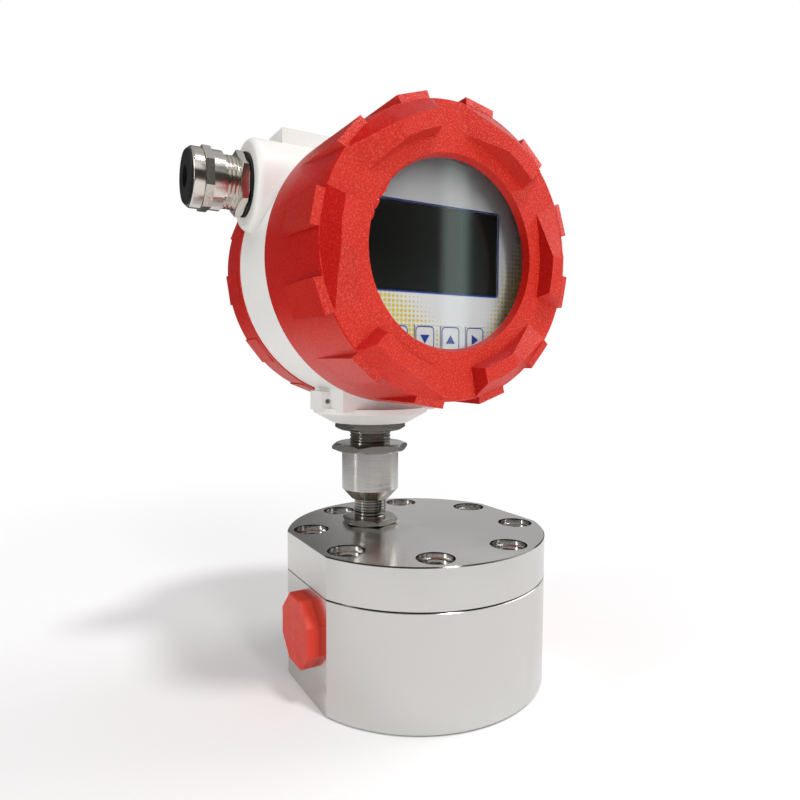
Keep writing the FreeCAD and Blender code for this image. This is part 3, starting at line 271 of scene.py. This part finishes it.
class Shader(Nodes):
    """A node material: a Principled shader and short calls that add to it."""

    def __init__(self, name, color, roughness, metallic=0.0):
        self.material = bpy.data.materials.new(name)
        self.material.use_nodes = True
        super().__init__(self.material.node_tree)
        self.output = self.add("ShaderNodeOutputMaterial")
        self.main = self.add("ShaderNodeBsdfPrincipled")
        self.surface(self.main.outputs["BSDF"])
        self.main.inputs["Base Color"].default_value = (*color, 1.0)
        self.main.inputs["Roughness"].default_value = roughness
        self.main.inputs["Metallic"].default_value = metallic
        coordinates = self.add("ShaderNodeTexCoord")
        self.place = coordinates.outputs["Object"]
        self.normal = coordinates.outputs["Normal"]

    def surface(self, source):
        self.link(source, self.output.inputs["Surface"])

    def set(self, name, value):
        """Sets one of the Principled shader's own numbers."""
        self.main.inputs[name].default_value = value

    def color(self, source):
        self.link(source, self.main.inputs["Base Color"])

    def rough(self, source):
        self.link(source, self.main.inputs["Roughness"])

    def placed(self, shift=(0, 0, 0), scale=(1, 1, 1)):
        """The object's coordinates, moved and then scaled along each axis."""
        moved = self.add("ShaderNodeVectorMath")
        moved.operation = "SUBTRACT"
        self.link(self.place, moved.inputs[0])
        moved.inputs[1].default_value = shift
        scaled = self.add("ShaderNodeVectorMath")
        scaled.operation = "MULTIPLY"
        self.link(moved.outputs[0], scaled.inputs[0])
        scaled.inputs[1].default_value = scale
        return scaled.outputs[0]

    def noise(self, scale, detail=2.0, place=None, roughness=0.5):
        node = self.add("ShaderNodeTexNoise")
        node.inputs["Scale"].default_value = scale
        node.inputs["Detail"].default_value = detail
        node.inputs["Roughness"].default_value = roughness
        self.link(place or self.place, node.inputs["Vector"])
        return node.outputs["Fac"]

    def specks(self, scale):
        """Distance to the nearest of many scattered points."""
        node = self.add("ShaderNodeTexVoronoi")
        node.inputs["Scale"].default_value = scale
        self.link(self.place, node.inputs["Vector"])
        return node.outputs["Distance"]

    def bump(self, height, strength, distance):
        node = self.add("ShaderNodeBump")
        node.inputs["Strength"].default_value = strength
        node.inputs["Distance"].default_value = distance
        self.link(height, node.inputs["Height"])
        if self.main.inputs["Normal"].is_linked:
            self.link(self.main.inputs["Normal"].links[0].from_socket, node.inputs["Normal"])
        self.link(node.outputs["Normal"], self.main.inputs["Normal"])

    def put(self, *names):
        for name in names:
            self.put_on(NODES[name])

    def put_on(self, piece):
        piece.data.materials.clear()
        piece.data.materials.append(self.material)


def turned(shader, middle, scale, detail=3.0):
    """Fine rings round a vertical axis through middle, as a lathe leaves them."""
    change_round = 0.0006
    x, y, z = shader.split(shader.placed((middle.x, middle.y, 0)))
    radius = shader.length(x, y)
    angle = shader.product(shader.math("ARCTAN2", y, x), change_round)
    return shader.noise(scale, detail, shader.joined(radius, angle, z), 0.65)


def brushed(shader, strength):
    """Highlights drawn out across rings that run round the vertical axis."""
    tangent = shader.add("ShaderNodeTangent")
    tangent.direction_type = "RADIAL"
    tangent.axis = "Z"
    shader.link(tangent.outputs["Tangent"], shader.main.inputs["Tangent"])
    shader.set("Anisotropic", strength)
    shader.set("Anisotropic Rotation", 0.25)


def red_powder_coat():
    """Red paint with a fine orange-peel grain, strongest on what faces the front or the back. The flanks
    are painted deeper and duller, as painted shade, and lighter where they face down, as painted light
    from the floor. Pale specks on the front faces are painted glints."""
    shader = Shader("red_powder_coat", (0.58, 0.014, 0.010), 0.4)
    cloudy = shader.noise(40.0, 3.0)
    grain = shader.noise(1650.0, roughness=0.6)
    _, along, up = shader.split(shader.normal)
    facing = shader.smooth(shader.size(along), 0.86, 0.985)
    # Painted shade and light: the flanks get a darker copy of the red, made lighter where they face down
    # as if lit from the floor
    floor_light_below = shader.smooth(shader.product(up, -1.0), 0.1, 0.7)
    flank = shader.mix(cloudy, (0.40, 0.006, 0.005), (0.46, 0.010, 0.007))
    flank = shader.mix(floor_light_below, flank, (0.60, 0.026, 0.015))
    front = shader.mix(cloudy, (0.56, 0.014, 0.006), (0.64, 0.024, 0.009))
    base = shader.mix(facing, flank, front)
    pits = shader.inverse(shader.smooth(grain, 0.34, 0.48))
    base = shader.mix(shader.product(pits, 0.35), base, (0.26, 0.003, 0.002))
    # Painted highlight: pale specks on the grain's peaks, mostly on faces toward the front
    glint_peaks = shader.smooth(grain, 0.52, 0.66)
    seen = shader.total(shader.product(facing, 0.16), 0.05)
    shader.color(shader.mix(shader.product(glint_peaks, seen), base, (0.95, 0.28, 0.18)))
    shader.rough(shader.ramp(grain, (0.3, 0.48), (0.7, 0.36)))
    sheen = shader.larger(facing, shader.smooth(shader.size(up), 0.3, 0.85))
    specular = shader.total(shader.product(sheen, 0.38), 0.04)
    shader.link(specular, shader.main.inputs["Specular IOR Level"])
    depth = shader.total(shader.product(facing, 0.7), 0.3)
    shader.bump(shader.product(grain, depth), 0.55, 0.45 * MM)
    return shader


def white_enamel():
    """The housing's off-white paint over a slightly uneven casting."""
    shader = Shader("white_enamel", (0.80, 0.785, 0.755), 0.38)
    cloudy = shader.noise(22.0, 3.0)
    shader.color(shader.mix(cloudy, (0.78, 0.77, 0.74), (0.82, 0.805, 0.78)))
    shader.bump(shader.noise(900.0), 0.22, 0.3 * MM)
    shader.bump(shader.noise(60.0), 0.12, 1.0 * MM)
    return shader


def steel_block(name, middle):
    """The satin turned stainless of the meter's body and lid, with dark lines painted as shade in the
    seam and along the lid's top edge.
    """
    shader = Shader(name, (0.70, 0.69, 0.67), 0.26, 1.0)
    rings = turned(shader, middle, 1500.0, 4.0)
    cloudy = shader.noise(26.0, 4.0)
    steel = shader.mix(cloudy, (0.69, 0.68, 0.655), (0.74, 0.73, 0.715))
    height = shader.split(shader.place)[2]
    # Painted shade: dark lines on the chamfers of the seam and of the lid's top edge, on the sides only
    shade_lines = 0.0
    for level in (SEAM_LEVEL, LID_TOP - LID_EDGE_DROP):
        near = shader.math("LESS_THAN", shader.apart(height, level), SHADE_LINE_HALF)
        shade_lines = shader.larger(near, shade_lines)
    up = shader.split(shader.normal)[2]
    side_on = shader.math("LESS_THAN", shader.size(up), 0.97)
    shader.color(shader.mix(shader.product(shade_lines, side_on), steel, (0.09, 0.085, 0.08)))
    shader.rough(shader.total(shader.product(rings, 0.10), shader.product(cloudy, 0.30)))
    shader.bump(rings, 0.10, 0.12 * MM)
    brushed(shader, 0.75)
    return shader


def steel_turned(name, middle, color):
    """The brighter steel of small turned pieces, with fine rings."""
    shader = Shader(name, color, 0.2, 1.0)
    rings = turned(shader, middle, 2600.0)
    shader.rough(shader.ramp(rings, (0.3, 0.16), (0.7, 0.26)))
    shader.bump(rings, 0.12, 0.1 * MM)
    brushed(shader, 0.8)
    return shader


def stem_steel(middle):
    """The turned stem and the sensor under it: darker on the cone, as painted shade, and duller on the
    flange and above it, with painted shade in the grooves between the turns of the bare threads."""
    bright = (0.68, 0.66, 0.635)
    shader = steel_turned("steel_stem", middle, bright)
    rise = shader.math("SUBTRACT", shader.split(shader.place)[2], STEM_LOW)
    # Painted shade: the cone, which faces down, is darker
    cone = shader.math("LESS_THAN", rise, CONE_TOP)
    above = shader.math("GREATER_THAN", rise, FLANGE_LOW)
    steel = shader.mix(shader.larger(cone, above), bright, (0.40, 0.385, 0.355))
    sensor = shader.math("LESS_THAN", rise, 0.0)
    bare = shader.total(sensor, shader.math("GREATER_THAN", rise, FLANGE_TOP))
    # Painted shade in the grooves between the turns of the threads
    turns = shader.math("SINE", shader.product(rise, math.tau / THREAD_PITCH))
    dark = shader.product(bare, shader.smooth(turns, -0.2, 0.7))
    shader.color(shader.mix(shader.product(dark, 0.75), steel, (0.05, 0.045, 0.04)))
    return shader


def nickel():
    """The plated brass of the gland and the blind plug."""
    shader = Shader("nickel", (0.74, 0.70, 0.64), 0.12, 1.0)
    cloudy = shader.noise(120.0, 4.0)
    shader.color(shader.mix(cloudy, (0.68, 0.64, 0.58), (0.78, 0.75, 0.69)))
    shader.rough(shader.ramp(cloudy, (0.3, 0.10), (0.7, 0.20)))
    shader.bump(shader.noise(300.0), 0.06, 0.4 * MM)
    return shader


def moulded(name, low, high, roughness, grain=500.0, strength=0.2):
    """A moulded or painted piece: a slightly cloudy colour and a fine grain."""
    shader = Shader(name, high, roughness)
    shader.color(shader.mix(shader.noise(60.0, 3.0), low, high))
    fine = shader.noise(grain)
    shader.rough(shader.ramp(fine, (0.3, roughness * 0.85), (0.7, roughness * 1.15)))
    shader.bump(fine, strength, 0.3 * MM)
    return shader


def metal(name, low, high, roughness):
    """A plain metal with a slightly cloudy colour and gloss."""
    shader = Shader(name, high, roughness, 1.0)
    cloudy = shader.noise(150.0, 4.0)
    shader.color(shader.mix(cloudy, low, high))
    shader.rough(shader.ramp(cloudy, (0.3, roughness * 0.8), (0.7, roughness * 1.25)))
    return shader


def head_millimetres(shader):
    """Millimetres across and up from the middle of the head."""
    x, _, z = shader.split(shader.placed(HEAD_MIDDLE, (1 / MM, 1 / MM, 1 / MM)))
    return x, z


def dark_screen():
    """The unlit display: black with a soft greenish band painted as a reflection, a faint glow painted
    low down, and a few specks of dust.
    """
    shader = Shader("dark_screen", (0.007, 0.008, 0.008), 0.16)
    x, z = head_millimetres(shader)
    # Painted reflection: a soft greenish band from a bright window. Painted light: a faint glow low down
    reflection_middle = 14.0
    sheen = shader.inverse(shader.smooth(shader.apart(x, reflection_middle), 1.0, 7.0))
    reflection_streaks = shader.ramp(shader.noise(40.0), (0.25, 0.75), (0.75, 1.0))
    painted_low_glow = shader.product(shader.smooth(shader.product(z, -1.0), -4.0, 12.0), 0.25)
    painted_reflection_and_glow = shader.larger(shader.product(sheen, reflection_streaks), painted_low_glow)
    dark = shader.mix(painted_reflection_and_glow, (0.004, 0.005, 0.0045), (0.02, 0.03, 0.027))
    dust = shader.inverse(shader.smooth(shader.specks(330.0), 0.035, 0.06))
    rare = shader.smooth(shader.noise(140.0, 1.0), 0.60, 0.66)
    shader.color(shader.mix(shader.product(dust, rare), dark, (0.4, 0.45, 0.4)))
    return shader


def plate_print():
    """The white front plate with a generic pattern of yellow dots that fade out."""
    shader = Shader("plate_print", (0.84, 0.85, 0.86), 0.3)
    x, z = head_millimetres(shader)
    pitch, largest_dot = 1.7, 0.42
    corner_reach, lean = 24.0, 0.4
    column, row = (
        shader.math("SUBTRACT", shader.math("FRACT", shader.math("DIVIDE", part, pitch)), 0.5)
        for part in (x, z)
    )
    from_corner = shader.total(shader.total(x, z), corner_reach)
    lower_left = shader.inverse(shader.smooth(from_corner, -14.0, 12.0))
    to_right = shader.math("SUBTRACT", x, shader.product(z, lean))
    amount = shader.larger(lower_left, shader.smooth(to_right, 27.0, 42.0))
    dot_size = shader.product(amount, largest_dot)
    dot = shader.math("LESS_THAN", shader.length(column, row), dot_size)
    cloudy = shader.noise(30.0)
    white = shader.mix(cloudy, (0.80, 0.815, 0.83), (0.84, 0.85, 0.865))
    shader.color(shader.mix(dot, white, (0.80, 0.66, 0.10)))
    shader.bump(shader.noise(700.0), 0.05, 0.2 * MM)
    return shader


def window_glass():
    """Clear glass with faint smudges, which lets the lamps through to the plate."""
    shader = Shader("window_glass", WHITE, 0.02)
    shader.set("Transmission Weight", 1.0)
    shader.set("IOR", 1.46)
    smudged = shader.noise(45.0, 3.0)
    shader.rough(shader.ramp(smudged, (0.5, 0.015), (0.85, 0.05)))
    clear = shader.add("ShaderNodeBsdfTransparent").outputs["BSDF"]
    shadow = shader.add("ShaderNodeLightPath").outputs["Is Shadow Ray"]
    shader.surface(shader.mix_shaders(shadow, shader.main.outputs["BSDF"], clear))
    return shader


def node_middle(name):
    low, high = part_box(name)
    return (low + high) / 2


def paint_nodes():
    red_powder_coat().put("front_cover", "rear_cover")
    white_enamel().put("housing")
    body_middle = node_middle("meter_body")
    steel_block("steel_body", body_middle).put("meter_body")
    steel_block("steel_lid", body_middle).put("meter_lid")
    stem_middle = node_middle("stem_adapter")
    stem_steel(stem_middle).put("stem_adapter", "pickup_sensor")
    steel_turned("steel_nut", stem_middle, (0.38, 0.365, 0.33)).put("lid_lock_nut", "head_lock_nut")
    nickel().put("gland_body", "gland_cap", "gland_lock_nut", "blind_plug", "terminal_screws")
    for name, low, high, roughness, nodes in METALS:
        metal(name, low, high, roughness).put(*nodes)
    for name, low, high, roughness, nodes in PLASTICS:
        moulded(name, low, high, roughness).put(*nodes)
    plastic = moulded("red_plastic", (0.58, 0.032, 0.016), (0.68, 0.048, 0.024), 0.42, 420.0, 0.3)
    plastic.set("Specular IOR Level", 0.28)
    plastic.put("inlet_plug", "outlet_plug")
    rubber = moulded("seal_rubber", (0.010, 0.010, 0.010), (0.016, 0.016, 0.016), 0.5)
    rubber.set("Specular IOR Level", 0.15)
    rubber.put("lid_seal", "front_cover_seal", "rear_cover_seal", "gland_seal", "blind_plug_seal")
    rubber.put("window_gasket", "gland_insert")
    board = moulded("board_green", (0.012, 0.10, 0.04), (0.02, 0.14, 0.055), 0.35, 300.0)
    board.put("display_board")
    keys = moulded("key_white", (0.82, 0.83, 0.845), (0.84, 0.85, 0.865), 0.3, 900.0, 0.05)
    keys.put(*KEY_MARKS)
    plate_print().put("face_plate")
    dark_screen().put("lcd_module")
    window_glass().put("window_glass")


def round_edges(name, width):
    """Breaks the sharp edges of a CAD node by modifiers, so that they catch the light."""
    piece = NODES[name]
    weld = piece.modifiers.new("join", "WELD")
    weld.merge_threshold = WELD_REACH
    bevel = piece.modifiers.new("edges", "BEVEL")
    bevel.width = width * MM
    bevel.segments = EDGE_SEGMENTS
    bevel.limit_method = "ANGLE"
    bevel.angle_limit = math.radians(EDGE_DEGREES)
    bevel.use_clamp_overlap = True
    normals = piece.modifiers.new("normals", "WEIGHTED_NORMAL")
    normals.weight = 100


def add_object(mesh, shader):
    piece = bpy.data.objects.new(mesh.name, mesh)
    SCENE.collection.objects.link(piece)
    shader.put_on(piece)
    return piece


def add_piece(mesh, body, shader):
    piece = add_object(mesh, shader)
    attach(piece, body)


def add_print(name, body, shader, form):
    vertices, faces = form
    mesh = bpy.data.meshes.new(name)
    mesh.from_pydata(vertices, [], faces)
    add_piece(mesh, body, shader)


def rounded_outline(box, grown, radius):
    """The corners of a rounded rectangle, counter-clockwise, after it has grown all round."""
    left, right, low, high = box
    left, right, low, high = left - grown, right + grown, low - grown, high + grown
    points = []
    for x, z, start in (
        (right - radius, high - radius, 0.0),
        (left + radius, high - radius, 90.0),
        (left + radius, low + radius, 180.0),
        (right - radius, low + radius, 270.0),
    ):
        for step in range(CORNER_STEPS + 1):
            angle = math.radians(start + 90.0 * step / CORNER_STEPS)
            points.append((x + radius * math.cos(angle), z + radius * math.sin(angle)))
    return points


def printed_ring(outer, inner, front):
    """A thin closed band between two outlines of equally many points, facing -Y."""
    count = len(outer)
    vertices = []
    for y in (front, front + PRINT_THICK):
        for outline in (outer, inner):
            vertices += [(x, y, z) for x, z in outline]
    faces = []
    for index in range(count):
        after = (index + 1) % count
        faces.append((index, after, count + after, count + index))
        faces.append((2 * count + index, 3 * count + index, 3 * count + after, 2 * count + after))
        faces.append((index, 2 * count + index, 2 * count + after, after))
        faces.append((count + index, count + after, 3 * count + after, 3 * count + index))
    return vertices, faces


def printed_patch(outline, front):
    """A thin closed patch, facing -Y."""
    count = len(outline)
    vertices = [(x, y, z) for y in (front, front + PRINT_THICK) for x, z in outline]
    faces = [tuple(range(count)), tuple(range(2 * count - 1, count - 1, -1))]
    for index in range(count):
        after = (index + 1) % count
        faces.append((index, count + index, count + after, after))
    return vertices, faces


def inner_box(name, border):
    """The left, right, lower and upper limits of a node, less a border all round."""
    low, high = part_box(name)
    return low.x + border, high.x - border, low.z + border, high.z - border


def make_prints():
    """The outline round the screen, and an outline and a mark on each key."""
    ink = moulded("blue_ink", (0.012, 0.045, 0.30), (0.02, 0.07, 0.40), 0.35, 900.0, 0.05)
    screen = inner_box("lcd_module", SCREEN_BORDER)
    outer = rounded_outline(screen, SCREEN_LINE_OUT, SCREEN_CORNER_OUT)
    inner = rounded_outline(screen, SCREEN_LINE_IN, SCREEN_CORNER_IN)
    front = PLATE_LOW.y - PRINT_LIFT - PRINT_THICK
    add_print("screen_outline", "head", ink, printed_ring(outer, inner, front))
    for name, mark in KEY_MARKS.items():
        key = inner_box(name, KEY_FLANGE)
        left, right, bottom, top = key
        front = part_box(name)[0].y - PRINT_LIFT - PRINT_THICK
        outer = rounded_outline(key, -KEY_INSET, KEY_CORNER_OUT)
        inner = rounded_outline(key, -(KEY_INSET + KEY_LINE), KEY_CORNER_IN)
        add_print(name + "_outline", name, ink, printed_ring(outer, inner, front))
        x, z = (left + right) / 2, (bottom + top) / 2
        corners = [(x + across * MM, z + up * MM) for across, up in mark]
        add_print(name + "_mark", name, ink, printed_patch(corners, front))


def make_paint_chips():
    """Loosened flakes and blobs of paint on the rim of the window, a sign of wear."""
    shader = moulded("paint_flake", (0.50, 0.015, 0.012), (0.66, 0.03, 0.02), 0.12, 900.0, 0.3)
    draw = random.Random(FLAKE_SEED)
    back = Vector((0, 1, 0))
    bm = bmesh.new()
    for degrees, length, width, height in FLAKES:
        start = len(bm.verts)
        bmesh.ops.create_icosphere(bm, subdivisions=3, radius=1.0)
        bm.verts.ensure_lookup_table()
        angle = math.radians(degrees)
        away = Vector((math.cos(angle), 0, math.sin(angle)))
        along = Vector((-math.sin(angle), 0, math.cos(angle)))
        middle = HEAD_MIDDLE + away * (RIM_EDGE - FLAKE_SUNK) + back * (COVER_FRONT + FLAKE_BACK)
        for vert in bm.verts[start:]:
            point = vert.co
            jag = 1.0 + FLAKE_JAG * (draw.random() - 0.5) * abs(point.x)
            vert.co = middle + (
                along * (point.x * length * 0.5 * jag)
                + away * (point.y * width * 0.5 * jag)
                + back * (point.z * height * 0.5 * jag)
            ) * MM
    mesh = bpy.data.meshes.new("paint_flakes")
    bm.to_mesh(mesh)
    bm.free()
    mesh.polygons.foreach_set("use_smooth", [True] * len(mesh.polygons))
    add_piece(mesh, "front_cover", shader)


def make_floor():
    """A plain pale floor. What metal shows of it grows darker where a table would end, and
    what the camera sees of it runs out into the white background."""
    shader = Shader("floor", FLOOR_LIT, 0.9)
    shader.set("Specular IOR Level", 0.0)
    path = shader.add("ShaderNodeLightPath").outputs
    x, y, _ = shader.split(shader.place)
    away = shader.length(x, y)
    mirrored = shader.mix(shader.smooth(away, *FLOOR_MIRRORED_TO), FLOOR_MIRRORED, ROOM_DARK)
    shade = shader.mix(path["Is Glossy Ray"], FLOOR_LIT, mirrored)
    shader.color(shader.mix(path["Is Camera Ray"], shade, FLOOR_SEEN))
    backdrop = shader.add("ShaderNodeEmission")
    backdrop.inputs["Color"].default_value = (*WHITE, 1.0)
    runs_out = shader.product(path["Is Camera Ray"], shader.smooth(away, *FLOOR_SEEN_TO))
    shader.surface(shader.mix_shaders(runs_out, shader.main.outputs["BSDF"], backdrop.outputs[0]))
    mesh = bpy.data.meshes.new("floor")
    half = FLOOR_HALF
    corners = [(-half, -half, 0), (half, -half, 0), (half, half, 0), (-half, half, 0)]
    mesh.from_pydata(corners, [], [(0, 1, 2, 3)])
    floor = add_object(mesh, shader)


def toward(azimuth, elevation, distance):
    """A point seen from the object at an azimuth from +X and an elevation, in degrees."""
    turn, rise = math.radians(azimuth), math.radians(elevation)
    flat = distance * math.cos(rise)
    return AIM + Vector((flat * math.cos(turn), flat * math.sin(turn), distance * math.sin(rise)))


def place_lamp(name, data, place):
    lamp = bpy.data.objects.new(name, data)
    lamp.location = place
    lamp.rotation_mode = "QUATERNION"
    lamp.rotation_quaternion = (AIM - place).to_track_quat("-Z", "Y")
    SCENE.collection.objects.link(lamp)
    return lamp


def add_panel(name, place, width, height, power):
    data = bpy.data.lights.new(name, "AREA")
    data.shape = "RECTANGLE"
    data.size = width
    data.size_y = height
    data.energy = power
    return place_lamp(name, data, place)


def add_sun(name, direction, strength, degrees):
    data = bpy.data.lights.new(name, "SUN")
    data.energy = strength
    data.angle = math.radians(degrees)
    place_lamp(name, data, AIM + Vector(direction))


def light_scene():
    """A soft sun and three panels. The strip in front stays out of the window's mirror."""
    add_sun("sun_above", (0.15, -0.44, 0.90), 1.2, 8.0)
    add_panel("panel_right", toward(-8.0, 38.0, 1.25), 0.6, 1.0, 5.5)
    add_panel("strip_left", toward(180.0, 20.0, 1.2), 0.14, 0.9, 3.2)
    strip_front = add_panel("strip_front", toward(270.0, 20.0, 1.2), 0.14, 0.9, 4.0)
    strip_front.visible_glossy = False
    strip_front.visible_transmission = False


def surround_scene():
    """The world: white as seen, the room as mirrored, and a plain grey light on the rest."""
    world = bpy.data.worlds.new("world")
    SCENE.world = world
    world.use_nodes = True
    nodes = Nodes(world.node_tree)
    path = nodes.add("ShaderNodeLightPath").outputs
    straight = nodes.math("LESS_THAN", path["Diffuse Depth"], 0.5)
    through = nodes.product(path["Is Transmission Ray"], straight)
    mirrored_once = nodes.math("GREATER_THAN", path["Glossy Depth"], 0.5)
    seen = nodes.larger(path["Is Camera Ray"], nodes.product(through, nodes.inverse(mirrored_once)))
    glossy = nodes.larger(path["Is Glossy Ray"], nodes.product(through, mirrored_once))
    shade = nodes.mix(glossy, ROOM_LIT, room_mirrored(nodes))
    background = nodes.add("ShaderNodeBackground")
    nodes.link(nodes.mix(seen, shade, WHITE), background.inputs["Color"])
    output = nodes.add("ShaderNodeOutputWorld")
    nodes.link(background.outputs[0], output.inputs["Surface"])


def room_mirrored(nodes):
    """What metal and glass show of the room round the floor: pale, with a dark strip at
    eye level in front, which is higher on the right, a greyer back that is dark on the
    left, and one narrow bright window to the right."""
    x, y, z = nodes.split(nodes.add("ShaderNodeTexCoord").outputs["Generated"])
    turn = nodes.math("ARCTAN2", y, x)
    front = nodes.ramp(z, (0.0, ROOM_DARK), (0.27, ROOM_DARK), (0.40, 0.9), (0.62, 1.0), (0.85, 0.4))
    back = nodes.ramp(z, (0.0, 0.75), (0.16, 0.50), (0.34, 0.46), (0.6, 0.9), (0.85, 0.5))
    dark_back = nodes.ramp(z, (0.0, 0.25), (0.5, 0.08), (0.8, 0.4))
    left_back = nodes.smooth(turn, math.radians(60.0), math.radians(68.0))
    front_x, front_y = -0.50, -0.86
    forward = nodes.total(nodes.product(x, front_x), nodes.product(y, front_y))
    ahead = nodes.smooth(forward, -0.35, 0.30)
    room = nodes.mix(ahead, nodes.mix(left_back, back, dark_back), front)
    patch_turn, window_turn = math.radians(-50.0), math.radians(-54.5)
    aside = nodes.apart(turn, patch_turn)
    patch = nodes.inverse(nodes.smooth(aside, math.radians(18.0), math.radians(34.0)))
    low = nodes.inverse(nodes.smooth(z, 0.60, 0.74))
    room = nodes.mix(nodes.product(patch, low), room, ROOM_DARK)
    away = nodes.apart(turn, window_turn)
    window = nodes.inverse(nodes.smooth(away, math.radians(0.5), math.radians(1.7)))
    return nodes.mix(window, room, (1.05, 1.3, 1.22))


make_camera()
paint_nodes()
for node_name, edge in EDGE_WIDTHS.items():
    round_edges(node_name, edge)
make_prints()
make_paint_chips()
make_floor()
light_scene()
surround_scene()
SCENE.view_settings.view_transform = "Standard"
